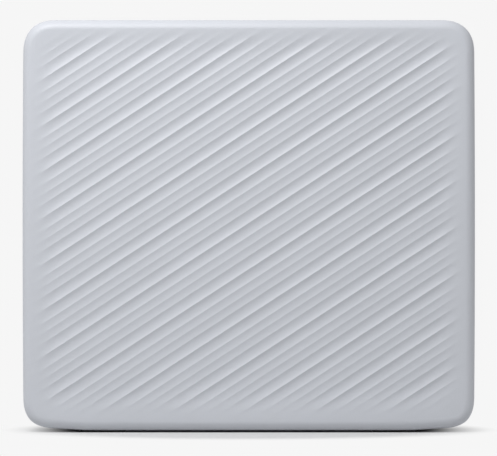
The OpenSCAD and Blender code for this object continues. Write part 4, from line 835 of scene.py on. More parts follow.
def joined(base, *others):
    """Adds the meshes of other objects to a piece and drops those objects."""
    whole = bmesh.new()
    whole.from_mesh(base.data)
    for other in others:
        whole.from_mesh(other.data)
        bpy.data.objects.remove(other)
    whole.to_mesh(base.data)
    whole.free()

def ribbed(name, finish, spans, crest, wall, z0, rows):
    """Rows of low ribs with sloping flanks on a wall: each row has a rib along every span, the first at z0."""
    bm = bmesh.new()
    section = [(wall, z0 - 0.45), (wall, z0 + 0.45), (crest, z0 + 0.12), (crest, z0 - 0.12)]
    for a, b in spans:
        stack(bm, "x", [(a, section), (b, section)])
    obj = piece(name, bm)
    grown(obj, rib_rows, rows=rows, step=(0.0, 0.0, RIB_STEP * MM), finish=finish)
    return obj

clear_of_springs = [(-60.5, -43.2), (-26.8, 16.8), (33.2, 50.5)]
joined(liner, ribbed("ribs_low", black_plastic, [(-50.5, 40.5)], 13.15, 13.5, 13.6, 6),
       ribbed("ribs_mid", black_plastic, clear_of_springs, 13.15, 13.5, 29.2, 24),
       ribbed("ribs_high", black_plastic, [(-50.5, -20.5), (20.5, 40.5)], 13.15, 13.5, 88.4, 6))
shaded(liner, 20)
fitted(liner, "film_door", "black_plastic", "door_liner")

leaf_steel = metal("leaf_spring_steel", (0.58, 0.58, 0.59), 0.34, grain=(1.0, 1.0, 0.12), scale=700.0,
                   depth=0.0006, stain=0.05)
LEAF_HALF, LEAF_RISE, LEAF_T = 27.5, 1.46, 0.25  # half length, height of the bow, thickness
bow = (LEAF_HALF ** 2 + LEAF_RISE ** 2) / (2 * LEAF_RISE)
bm = bmesh.new()
lo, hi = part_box("pack_springs")
crest_y, mid_z = lo.y / MM, (lo.z + hi.z) / 2 / MM
half_z = (hi.z - lo.z) / 2 / MM
for x in (-35, 25):
    levels = []
    for k in range(41):
        u = -1 + 2 * k / 40
        t = math.asin(u * half_z / bow)
        y = crest_y + bow * (1 - math.cos(t))
        w = 4.95 - 1.1 * max(0.0, abs(u) - 0.9) / 0.1
        z = mid_z + bow * math.sin(t)
        back = y + LEAF_T
        levels.append((z, [(x - w, y + 0.05), (x - w + 0.08, y), (x + w - 0.08, y), (x + w, y + 0.05),
                           (x + w, back - 0.05), (x + w - 0.08, back), (x - w + 0.08, back),
                           (x - w, back - 0.05)]))
    stack(bm, "z", levels)
leaves = piece("pack_springs", bm, leaf_steel)
shaded(leaves, 40)
fitted(leaves, "film_door", "spring_steel", "pack_springs")


# ------------------------------------------------------------ door latch
# A grey ABS slide with a ribbed thumb grip. Two little coil springs under a
# black cover plate push its tongue up behind the casing.
moulding("door_latch", "door_latch", "casing", casing_plastic, 0.12)
moulding("latch_cover", "film_door", "black_plastic", black_plastic, 0.15)

coil_steel = metal("coil_spring_steel", (0.55, 0.55, 0.57), 0.28, scale=2600.0)

def coil_tree():
    """Geometry nodes that wind a compression spring: a helix of round wire, its ends closed up."""
    tree, given = new_tree("wound_spring", coil_radius="Float", wire_radius="Float", turns="Float",
                           height="Float")
    def calc(operation, *values):
        return add(tree, "ShaderNodeMath", dict(enumerate(values)), operation=operation).outputs[0]
    line = add(tree, "GeometryNodeCurvePrimitiveLine", {"Start": (0, 0, 0), "End": (0, 0, 1)})
    fine = add(tree, "GeometryNodeResampleCurve", {"Curve": line.outputs["Curve"], "Count": 260})
    u = add(tree, "GeometryNodeSplineParameter").outputs["Factor"]
    turn = calc("MULTIPLY", calc("MULTIPLY", u, given["Turns"]), 2 * math.pi)
    # the first and last turn lie nearly flat, so the climb starts and ends slowly
    swell = calc("MULTIPLY", calc("SINE", calc("MULTIPLY", u, 2 * math.pi)), -0.085)
    rise = calc("MULTIPLY", calc("ADD", u, swell), given["Height"])
    where = add(tree, "ShaderNodeCombineXYZ",
                {"X": calc("MULTIPLY", calc("COSINE", turn), given["Coil Radius"]),
                 "Y": calc("MULTIPLY", calc("SINE", turn), given["Coil Radius"]), "Z": rise})
    helix = add(tree, "GeometryNodeSetPosition",
                {"Geometry": fine.outputs["Curve"], "Position": where.outputs[0]})
    wire = add(tree, "GeometryNodeCurvePrimitiveCircle", {"Resolution": 8, "Radius": given["Wire Radius"]})
    tube = add(tree, "GeometryNodeCurveToMesh",
               {"Curve": helix.outputs["Geometry"], "Profile Curve": wire.outputs["Curve"],
                "Fill Caps": True})
    return end_tree(tree, given, tube.outputs["Mesh"])

wound_spring = coil_tree()

def coils(name, body, radius, wire, turns, length, spots):
    """Equal springs of one node, each standing at its spot and running the opposite way to its pointing end."""
    bm = bmesh.new()
    bm.verts.new((0, 0, 0))
    part = piece("coil", bm)
    grown(part, wound_spring, coil_radius=radius * MM, wire_radius=wire * MM, turns=float(turns),
          height=(length - 2 * wire) * MM, finish=coil_steel)
    part.data.transform(Matrix.Translation((0, 0, wire * MM)))
    obj = placed(name, part, coil_steel, spots)
    bpy.data.objects.remove(part)
    shaded(obj, 60)
    return fitted(obj, body, "spring_steel", name)

springs = coils("latch_springs", "film_door", 0.5, 0.12, 8, 10.54,
                [(-9.5, 13.7, 105.93, "down"), (9.5, 13.7, 105.93, "down")])
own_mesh(springs)
screws("door_screws", "film_door", "screw_steel", black_steel, [
    ((0.7, 1.9, 1.3, 0.6, 0.55), [(x, 14.08, z, "back") for x in (-55.8, 45.8) for z in (19.0, 97.5)]),
    ((0.7, 3.0, 1.3, 0.6, 0.55), [(x, 12.38, 113.5, "back") for x in (-15.2, 15.2)])])


# ------------------------------------------------------------ light seal
# Strips of thin black felt glued on the casing's ledge all round the film
# chamber; the pile is uneven and frayed a little at the edges.
def felt_material():
    """Pressed black felt: matted fibres that catch the light at a glance."""
    mat, tree = new_material("black_felt")
    place = add(tree, "ShaderNodeTexCoord").outputs["Object"]
    fibre = add(tree, "ShaderNodeTexNoise", {"Vector": place, "Scale": 2600.0, "Detail": 6.0, "Roughness": 0.75,
                                             "Distortion": 1.5})
    clump = add(tree, "ShaderNodeTexNoise", {"Vector": place, "Scale": 450.0, "Detail": 4.0})
    tone = add(tree, "ShaderNodeMapRange", {"Value": fibre.outputs["Fac"], "From Min": 0.3, "From Max": 0.7,
                                            "To Min": 0.55, "To Max": 1.6})
    paint = add(tree, "ShaderNodeVectorMath", {0: (0.014, 0.014, 0.015), "Scale": tone.outputs[0]},
                operation="SCALE")
    sum_height = add(tree, "ShaderNodeMath", {0: fibre.outputs["Fac"], 1: clump.outputs["Fac"]},
                     operation="ADD")
    bump = add(tree, "ShaderNodeBump", {"Height": sum_height.outputs[0], "Strength": 0.9,
                                        "Distance": 0.12 * MM})
    skin = add(tree, "ShaderNodeBsdfPrincipled", {"Base Color": paint.outputs[0], "Roughness": 0.95,
                                                  "Sheen Weight": 0.6, "Sheen Roughness": 0.4,
                                                  "Specular IOR Level": 0.15, "Normal": bump.outputs["Normal"]})
    add(tree, "ShaderNodeOutputMaterial", {"Surface": skin.outputs["BSDF"]})
    return mat

def pile_tree():
    """Geometry nodes that divide a flat strip and push its surface in unevenly, as matted pile."""
    tree, given = new_tree("felt_pile", unevenness="Float", seed="Float")
    fine = add(tree, "GeometryNodeSubdivideMesh", {"Mesh": given["Geometry"], "Level": 1})
    noise = add(tree, "ShaderNodeTexNoise", {"W": given["Seed"], "Scale": 1100.0, "Detail": 3.0},
                noise_dimensions="4D")
    normal = add(tree, "GeometryNodeInputNormal").outputs["Normal"]
    deep = add(tree, "ShaderNodeMath", {0: noise.outputs["Fac"], 1: given["Unevenness"]}, operation="MULTIPLY")
    inward = add(tree, "ShaderNodeMath", {0: deep.outputs[0], 1: -1.0}, operation="MULTIPLY")
    push = add(tree, "ShaderNodeVectorMath", {0: normal, "Scale": inward.outputs[0]}, operation="SCALE")
    moved = add(tree, "GeometryNodeSetPosition", {"Geometry": fine.outputs["Mesh"], "Offset": push.outputs[0]})
    return end_tree(tree, given, moved.outputs["Geometry"])

felt = felt_material()
bm = bmesh.new()
FELT_Y = (14.57, 14.83)
for (x0, x1), (z0, z1) in (((-64.2, -62.8), (10.76, 112.0)), ((52.8, 55.3), (10.76, 112.0)),
                           ((-61.5, -19.0), (106.8, 108.8)), ((19.0, 51.5), (106.8, 108.8))):
    long = z1 - z0 > x1 - x0
    count = int(max(z1 - z0, x1 - x0) / 0.55)
    mid, half = ((x0 + x1) / 2, (x1 - x0) / 2) if long else ((z0 + z1) / 2, (z1 - z0) / 2)
    levels = []
    for k in range(count + 1):
        place = (z0 + (z1 - z0) * k / count) if long else (x0 + (x1 - x0) * k / count)
        w = half - 0.02 - 0.05 * (0.5 + 0.5 * math.sin(place * 5.1)) * (0.5 + 0.5 * math.sin(place * 2.3 + 1))
        across = [mid + w * c for c in (-1, -0.9, -0.5, 0, 0.5, 0.9, 1)]
        near = [(c, FELT_Y[1] - (0.06 if i in (0, 6) else 0.0)) for i, c in enumerate(across)]
        loop = [(across[0], FELT_Y[0])] + near + [(across[-1], FELT_Y[0])]
        levels.append((place, loop if long else [(y, c) for c, y in loop]))
    stack(bm, "z" if long else "x", levels)
seal = piece("light_seal", bm, felt)
grown(seal, pile_tree(), unevenness=0.06 * MM, seed=3.0, finish=felt)
shaded(seal, 60)
fitted(seal, "casing", "felt", "light_seal")


# --------------------------------------------------------------- chassis
# The black inner frame that forms the film chamber: glass-filled ABS with a
# dull grain. Low ribs on the wall behind the film pack swallow stray light.
chassis_plastic = moulded("chassis_plastic", (0.017, 0.017, 0.018), 0.62, grain=1100.0, depth=0.03, mottle=0.12,
                          sheen=0.35)
chassis = softened("chassis_piece", merged("chassis"), 0.1, chassis_plastic)
joined(chassis, ribbed("wall_ribs", chassis_plastic, [(-47.0, 36.0)], -3.72, -4.1, 16.0, 33))
shaded(chassis, 20)
fitted(chassis, "casing", "black_plastic", "chassis")
screws("chassis_screws", "casing", "screw_steel", black_steel, [
    ((0.85, 6, 1.5, 0.8, 0.7), [(x, -4.88, z, "front") for x, z in CHASSIS_SCREWS])])


# ---------------------------------------------------- rollers and frame
# A folded steel sheet carries two rollers that squeeze the print: one of
# ground steel with knurled bands, one rubber-covered, pressed on by springs.
sheet_steel = metal("sheet_steel", (0.52, 0.53, 0.54), 0.34, grain=(0.1, 1.0, 1.0), scale=1400.0, stain=0.10)
moulding("roller_frame", "casing", "steel", sheet_steel, 0.1)
FRAME_ENDS = ((-9.22, 118.546), (6.79, 109.677))
screws("frame_screws", "casing", "bright_screw", zinc_steel, [
    ((0.7, 2.2, 1.3, 0.6, 0.5), [(-61.38, *at, "left") for at in FRAME_ENDS]
     + [(51.38, *at, "right") for at in FRAME_ENDS]
     + [(x, -6.42, 97.65, "back") for x in (-50, 40)]),
    ((0.7, 3, 1.3, 0.6, 0.5), [(64.02, *at, "left") for at in
                                ((8.354, 110.027), (9.51, 89.916), (-11.871, 80.02), (-12.032, 119.056))])])

roller_steel = metal("roller_steel", (0.50, 0.51, 0.53), 0.22, grain=(0.08, 1.0, 1.0), scale=900.0, stain=0.05)
roller_rubber = moulded("roller_rubber", (0.020, 0.020, 0.021), 0.60, grain=2600.0, depth=0.02, mottle=0.06,
                        sheen=0.35)
DRIVE_Y, PRESS_Y = -6.45, 1.65  # the axes of the steel and the rubber roller
ROLLER_R = 3.95

def turned(bm, y, z, profile, around):
    """A body turned about an axis along X: (x, radius) pairs from end to end."""
    stack(bm, "x", [(x, ring(y, z, 2 * r, 2 * r, count=around // 4)) for x, r in profile])

def knurl_tree():
    """Geometry nodes that emboss a fine cross-hatched grip on marked bands of a roller."""
    tree, given = new_tree("knurled_bands", axis_y="Float", axis_z="Float", depth="Float", teeth="Float",
                           lead="Float")
    def calc(operation, *values):
        return add(tree, "ShaderNodeMath", dict(enumerate(values)), operation=operation).outputs[0]
    where = add(tree, "GeometryNodeInputPosition").outputs["Position"]
    axes = add(tree, "ShaderNodeSeparateXYZ", {0: where}).outputs
    dy, dz = calc("SUBTRACT", axes["Y"], given["Axis Y"]), calc("SUBTRACT", axes["Z"], given["Axis Z"])
    angle = calc("MULTIPLY", calc("ARCTAN2", dz, dy), given["Teeth"])
    climb = calc("MULTIPLY", axes["X"], given["Lead"])
    cross = calc("MULTIPLY", calc("SINE", calc("ADD", angle, climb)),
                 calc("SINE", calc("SUBTRACT", angle, climb)))
    band = add(tree, "GeometryNodeInputNamedAttribute", {"Name": "grip"},
               data_type="FLOAT").outputs["Attribute"]
    sink = calc("MULTIPLY", calc("MULTIPLY", calc("SUBTRACT", calc("ABSOLUTE", cross), 1.0), band),
                given["Depth"])
    outward = add(tree, "ShaderNodeVectorMath",
                  {0: add(tree, "ShaderNodeCombineXYZ", {"Y": dy, "Z": dz}).outputs[0]}, operation="NORMALIZE")
    push = add(tree, "ShaderNodeVectorMath", {0: outward.outputs[0], "Scale": sink}, operation="SCALE")
    moved = add(tree, "GeometryNodeSetPosition", {"Geometry": given["Geometry"], "Offset": push.outputs[0]})
    return end_tree(tree, given, moved.outputs["Geometry"])

bm = bmesh.new()
grips = [(a, a + 5.0) for a in (-58.5, 43.5)]
profile = [(-62.3, 1.3), (-62.1, 1.5), (-60.0, 1.5), (-60.0, 3.7), (-59.75, ROLLER_R)]
for a, b in grips:
    profile += [(a, ROLLER_R)] + [(a + 0.15 + 4.7 * k / 26, ROLLER_R) for k in range(27)] + [(b, ROLLER_R)]
profile += [(49.75, ROLLER_R), (50.0, 3.7), (50.0, 1.5), (57.1, 1.5), (57.3, 1.3)]
turned(bm, DRIVE_Y, ROLLER_Z, profile, 120)
steel_roller = piece("drive_roller", bm, roller_steel)
grip = steel_roller.data.attributes.new("grip", "FLOAT", "POINT")
for k, vert in enumerate(steel_roller.data.vertices):
    x = vert.co.x / MM
    out_there = math.hypot(vert.co.y / MM - DRIVE_Y, vert.co.z / MM - ROLLER_Z) > ROLLER_R - 0.05
    grip.data[k].value = 1.0 if out_there and any(a + 0.1 < x < b - 0.1 for a, b in grips) else 0.0
grown(steel_roller, knurl_tree(), axis_y=DRIVE_Y * MM, axis_z=ROLLER_Z * MM, depth=0.12 * MM, teeth=30.0,
      lead=math.pi / (0.42 * MM), finish=roller_steel)
shaded(steel_roller, 28)
fitted(steel_roller, "drive_roller", "roller_steel", "drive_roller")

bm = bmesh.new()
turned(bm, PRESS_Y, ROLLER_Z, [(-62.3, 1.3), (-62.1, 1.5), (-60.0, 1.5), (-60.0, 2.6), (-59.8, 2.6),
                               (-59.8, 3.75), (-59.6, ROLLER_R), (49.6, ROLLER_R), (49.8, 3.75), (49.8, 2.6),
                               (50.0, 2.6), (50.0, 1.5), (57.1, 1.5), (57.3, 1.3)], 96)
rubber_roller = piece("pressure_roller", bm, roller_rubber, ground_steel)
for face in rubber_roller.data.polygons:
    x, r = face.center.x / MM, math.hypot(face.center.y / MM - PRESS_Y, face.center.z / MM - ROLLER_Z)
    face.material_index = 0 if -59.9 < x < 49.9 and r > 1.6 else 1
shaded(rubber_roller, 28)
fitted(rubber_roller, "pressure_roller", "roller_rubber", "pressure_roller")

acetal = moulded("white_acetal", (0.66, 0.65, 0.60), 0.38, grain=1300.0, depth=0.01, mottle=0.04, sheen=0.5)
moulding("drive_bushings", "casing", "acetal", acetal, 0.05)
moulding("pressure_bearings", "pressure_carriage", "acetal", acetal, 0.06)
springs = coils("pressure_springs", "casing", 0.7, 0.15, 8, 5.68,
                [(-61.5, 3.97, ROLLER_Z, "front"), (51.5, 3.97, ROLLER_Z, "front")])
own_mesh(springs)


# ------------------------------------------------------------ gear train
# White acetal spur gears between the chassis and a stamped steel plate take
# the motor's turn down to the rollers and to the cam of the film claw.
for node, body in (("drive_gear", "drive_roller"), ("pressure_gear", "pressure_roller"),
                   ("upper_gear", "upper_gear"), ("reduction_gear", "reduction_gear"),
                   ("cam_wheel", "cam_wheel")):
    moulding(node, body, "acetal", acetal, 0.06)
moulding("gear_plate", "casing", "steel", sheet_steel, 0.1)
bm = bmesh.new()
for y, z in ((-5.45, 107.466), (-1.25, 97.734), (1.75, 80.899)):
    turned(bm, y, z, [(52.6, 0.6), (52.75, 0.75), (63.75, 0.75), (63.9, 0.6)], 32)
turned(bm, -5.45, 107.466, [(59.9, 0.8), (59.9, 1.05), (62.98, 1.05), (62.98, 0.8)], 32)
shafts = piece("gear_shafts", bm, ground_steel)
shaded(shafts, 30)
fitted(shafts, "casing", "steel", "gear_shafts")


# ----------------------------------------------------------------- motor
# A flat-sided brushed motor: drawn steel can with a rolled rim, a white
# nylon end cap, a ground shaft and a brass pinion, held by two screws.
can_steel = metal("drawn_can", (0.60, 0.61, 0.63), 0.27, grain=(0.12, 1.0, 1.0), scale=1600.0, stain=0.07)
nylon = moulded("white_nylon", (0.70, 0.69, 0.64), 0.45, grain=1300.0, depth=0.015, mottle=0.04)
brass = metal("turned_brass", (0.72, 0.52, 0.22), 0.24, grain=(0.2, 1.0, 1.0), scale=2400.0, stain=0.09)
MOTOR_Y, MOTOR_Z = -9.925, 90.033

def can_ring(inset):
    """The motor's outline, a circle with two flat sides, drawn in by an inset."""
    r, flat, count = 6.0 - inset, 4.4 - inset, 24
    t = math.acos(flat / r)
    loop = []
    for side in (1, -1):
        for k in range(count + 1):
            a = t + (math.pi - 2 * t) * k / count
            loop.append((MOTOR_Y + side * r * math.cos(a), MOTOR_Z + side * r * math.sin(a)))
    return loop

bm = bmesh.new()
stack(bm, "x", [(34.0, can_ring(0.25)), (34.1, can_ring(0.02)), (34.9, can_ring(0.0)), (35.05, can_ring(0.12)),
                (51.4, can_ring(0.12)), (52.0, can_ring(0.3)), (52.3, can_ring(0.75)), (52.4, can_ring(1.4))])
motor_can = piece("motor", bm, can_steel)
nose = bmesh.new()
stack(nose, "x", [(51.5, ring(MOTOR_Y, MOTOR_Z, 4.0, 4.0)), (53.2, ring(MOTOR_Y, MOTOR_Z, 4.0, 4.0)),
                  (53.4, ring(MOTOR_Y, MOTOR_Z, 3.6, 3.6))])
joined(motor_can, piece("nose", nose))
holes = bmesh.new()
stack(holes, "x", [(30, ring(MOTOR_Y, MOTOR_Z, 1.6, 1.6)), (54, ring(MOTOR_Y, MOTOR_Z, 1.6, 1.6))])
for dz in (4.2, -4.2):
    stack(holes, "x", [(51.3, ring(MOTOR_Y, MOTOR_Z + dz, 1.04, 1.04)),
                       (53, ring(MOTOR_Y, MOTOR_Z + dz, 1.04, 1.04))])
cut_away(motor_can, holes)
shaded(motor_can, 28)
fitted(motor_can, "casing", "can", "motor")

bm = bmesh.new()
stack(bm, "x", [(31.0, can_ring(0.9)), (31.2, can_ring(0.5)), (31.6, can_ring(0.15)), (33.3, can_ring(0.1)),
                (33.98, can_ring(0.05))])
cap = piece("motor_cap", bm, nylon)
holes = bmesh.new()
stack(holes, "x", [(32, ring(MOTOR_Y, MOTOR_Z, 1.6, 1.6)), (35, ring(MOTOR_Y, MOTOR_Z, 1.6, 1.6))])
for dy in (-2.6, 2.6):
    stack(holes, "x", [(30.5, ring(MOTOR_Y + dy, MOTOR_Z, 0.9, 3.2)),
                       (31.7, ring(MOTOR_Y + dy, MOTOR_Z, 0.9, 3.2))])
cut_away(cap, holes)
shaded(cap, 30)
fitted(cap, "casing", "connector", "motor_cap")

bm = bmesh.new()
turned(bm, MOTOR_Y, MOTOR_Z, [(32.2, 0.6), (32.35, 0.75), (63.7, 0.75), (63.9, 0.55)], 32)
rod = piece("motor_shaft", bm, ground_steel)
shaded(rod, 30)
fitted(rod, "motor_rotor", "steel", "motor_shaft")
moulding("motor_pinion", "motor_rotor", "brass", brass, 0.05)
screws("motor_screws", "casing", "bright_screw", zinc_steel, [
    ((0.5, 2.6, 1.0, 0.5, 0.35), [(53.92, MOTOR_Y, MOTOR_Z + dz, "left") for dz in (4.2, -4.2)])])


# ------------------------------------------------------------- film claw
# A stamped spring-steel slider whose hook pushes the print out of its pack;
# a coil spring draws it back against the cam.
moulding("film_claw", "film_claw", "spring_steel", leaf_steel, 0.1)
claw_coil = coils("claw_spring", None, 1.1, 0.15, 9, 19.96, [(55.8, 3.4, 46.02, "down")])
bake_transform(claw_coil)


# ------------------------------------------------------------ print head
# The black exposure bar across the chamber's top, with a strip of tiny glass
# rod lenses set in its slot.
moulding("print_head", "casing", "black_plastic", black_plastic, 0.2)

def lens_material():
    """Rows of glass rods a third of a millimetre apart in dark resin."""
    mat, tree = new_material("rod_lens_strip")
    place = add(tree, "ShaderNodeTexCoord").outputs["Object"]
    axes = add(tree, "ShaderNodeSeparateXYZ", {0: place}).outputs
    wave = add(tree, "ShaderNodeMath", {0: axes["X"], 1: 2 * math.pi / (0.36 * MM)}, operation="MULTIPLY")
    rod = add(tree, "ShaderNodeMath", {0: wave.outputs[0]}, operation="SINE")
    tone = add(tree, "ShaderNodeMapRange", {"Value": rod.outputs[0], "From Min": -1.0, "To Min": 0.35,
                                            "To Max": 1.0})
    haze = add(tree, "ShaderNodeTexNoise", {"Vector": place, "Scale": 300.0})
    mist = add(tree, "ShaderNodeMapRange", {"Value": haze.outputs["Fac"], "To Min": 0.9, "To Max": 1.1})
    both = add(tree, "ShaderNodeMath", {0: tone.outputs[0], 1: mist.outputs[0]}, operation="MULTIPLY")
    paint = add(tree, "ShaderNodeVectorMath", {0: (0.20, 0.24, 0.28), "Scale": both.outputs[0]},
                operation="SCALE")
    gloss = add(tree, "ShaderNodeMapRange", {"Value": haze.outputs["Fac"], "To Min": 0.06, "To Max": 0.16})
    bump = add(tree, "ShaderNodeBump", {"Height": rod.outputs[0], "Strength": 0.6, "Distance": 0.05 * MM})
    skin = add(tree, "ShaderNodeBsdfPrincipled", {"Base Color": paint.outputs[0], "Roughness": gloss.outputs[0],
                                                  "Coat Weight": 0.5, "Normal": bump.outputs["Normal"]})
    add(tree, "ShaderNodeOutputMaterial", {"Surface": skin.outputs["BSDF"]})
    return mat

moulding("lens_strip", "casing", "lens", lens_material(), 0.12)


# ------------------------------------------------------- battery and leads
# A flat lithium cell in silver-grey laminate, folded at its seams and taped
# at the end with its circuit; thin PVC-covered wires run to the board.
def wrap_material():
    """Laminate film: satin and slightly creased; the darker tape over the lead end has its own material."""
    mat, tree = new_material("cell_laminate")
    place = add(tree, "ShaderNodeTexCoord").outputs["Object"]
    crease = add(tree, "ShaderNodeTexNoise", {"Vector": place, "Scale": 55.0, "Detail": 5.0, "Distortion": 0.8})
    fine = add(tree, "ShaderNodeTexNoise", {"Vector": place, "Scale": 1200.0, "Detail": 3.0})
    tone = add(tree, "ShaderNodeMapRange", {"Value": crease.outputs["Fac"], "From Min": 0.3, "From Max": 0.7,
                                            "To Min": 0.9, "To Max": 1.08})
    paint = add(tree, "ShaderNodeVectorMath", {0: (0.30, 0.33, 0.37), "Scale": tone.outputs[0]},
                operation="SCALE")
    height = add(tree, "ShaderNodeMath", {0: crease.outputs["Fac"], 1: fine.outputs["Fac"]}, operation="ADD")
    gloss = add(tree, "ShaderNodeMapRange", {"Value": crease.outputs["Fac"], "To Min": 0.28, "To Max": 0.42})
    bump = add(tree, "ShaderNodeBump", {"Height": height.outputs[0], "Strength": 0.5, "Distance": 0.12 * MM})
    skin = add(tree, "ShaderNodeBsdfPrincipled", {"Base Color": paint.outputs[0], "Metallic": 0.6,
                                                  "Roughness": gloss.outputs[0],
                                                  "Normal": bump.outputs["Normal"]})
    add(tree, "ShaderNodeOutputMaterial", {"Surface": skin.outputs["BSDF"]})
    return mat

cell_wrap = wrap_material()
tape = moulded("amber_tape", (0.42, 0.20, 0.035), 0.30, grain=600.0, depth=0.01, mottle=0.08)
bm = bmesh.new()
CELL_Y, CELL_Z = (-10.9, -5.3), (55.6, 97.6)
mid_y, mid_z = sum(CELL_Y) / 2, sum(CELL_Z) / 2
h, w = CELL_Y[1] - CELL_Y[0], CELL_Z[1] - CELL_Z[0]
stack(bm, "x", [(-61, ring(mid_y, mid_z, h - 2.6, w - 3.0, 0.9)),
                (-60.7, ring(mid_y, mid_z, h - 1.4, w - 1.6, 1.3)),
                (-60.0, ring(mid_y, mid_z, h - 0.5, w - 0.6, 1.8)),
                (-58.5, ring(mid_y, mid_z, h - 0.06, w, 2.1)), (-30, ring(mid_y, mid_z, h, w, 2.1)),
                (2, ring(mid_y, mid_z, h - 0.04, w, 2.1)), (6.8, ring(mid_y, mid_z, h - 0.3, w - 0.2, 2.0)),
                (7.0, ring(mid_y, mid_z, h - 1.0, w - 0.9, 1.5)),
                (7.2, ring(mid_y, mid_z, h - 1.0, w - 0.9, 1.5)),
                (10.6, ring(mid_y, mid_z, h - 1.1, w - 1.0, 1.5)),
                (11, ring(mid_y, mid_z, h - 1.8, w - 1.8, 1.1))])
cell = piece("battery", bm, cell_wrap, tape)
for face in cell.data.polygons:
    face.material_index = 1 if face.center.x > 7.1 * MM else 0
shaded(cell, 50)
fitted(cell, "casing", "cell_wrap", "battery")

red_pvc = moulded("red_pvc", (0.42, 0.035, 0.025), 0.42, grain=1500.0, depth=0.01, mottle=0.06)
black_pvc = moulded("black_pvc", (0.022, 0.022, 0.024), 0.42, grain=1500.0, depth=0.01, mottle=0.10)

def lead(bm, x, y, z0, z1, sway):
    """A wire of 1 mm that stands a little off the straight between its fixed ends."""
    levels = []
    for k in range(33):
        u = k / 32
        bend = sway * math.sin(math.pi * u) ** 2
        r = 0.47 if 0.02 < u < 0.98 else 0.40
        levels.append((z0 + (z1 - z0) * u, ring(x + bend, y, 2 * r, 2 * r, count=4)))
    stack(bm, "z", levels)

for name, finish, slot, xs, z1 in (("battery_lead", red_pvc, "red_wire", (2.0, 4.5), 55.58),
                                   ("motor_leads", black_pvc, "black_wire", (31.7, 33.2), 84.33)):
    bm = bmesh.new()
    for k, x in enumerate(xs):
        lead(bm, x, -7.15, 48.5, z1, (0.03, -0.03)[k])
    wires = piece(name, bm, finish)
    shaded(wires, 50)
    fitted(wires, "casing", slot, name)

def ribbon_material(name, across):
    """Polyimide ribbon with conductors half a millimetre apart across it showing through."""
    mat, tree = new_material(name)
    place = add(tree, "ShaderNodeTexCoord").outputs["Object"]
    axes = add(tree, "ShaderNodeSeparateXYZ", {0: place}).outputs
    wave = add(tree, "ShaderNodeMath", {0: axes[across], 1: 2 * math.pi / (0.5 * MM)}, operation="MULTIPLY")
    line = add(tree, "ShaderNodeMath", {0: wave.outputs[0]}, operation="SINE")
    share = add(tree, "ShaderNodeMapRange", {"Value": line.outputs[0], "From Min": -0.3, "From Max": 0.3})
    paint = add(tree, "ShaderNodeMix", {0: share.outputs["Result"], 6: (0.46, 0.22, 0.05, 1),
                                        7: (0.62, 0.34, 0.12, 1)},
                data_type="RGBA")
    haze = add(tree, "ShaderNodeTexNoise", {"Vector": place, "Scale": 500.0})
    gloss = add(tree, "ShaderNodeMapRange", {"Value": haze.outputs["Fac"], "To Min": 0.22, "To Max": 0.38})
    bump = add(tree, "ShaderNodeBump", {"Height": line.outputs[0], "Strength": 0.4, "Distance": 0.03 * MM})
    skin = add(tree, "ShaderNodeBsdfPrincipled", {"Base Color": paint.outputs[2], "Roughness": gloss.outputs[0],
                                                  "Normal": bump.outputs["Normal"]})
    add(tree, "ShaderNodeOutputMaterial", {"Surface": skin.outputs["BSDF"]})
    return mat

moulding("head_cable", "casing", "flat_cable", ribbon_material("head_ribbon", "X"), 0.03)
moulding("button_cable", "casing", "flat_cable", ribbon_material("button_ribbon", "Z"), 0.03)


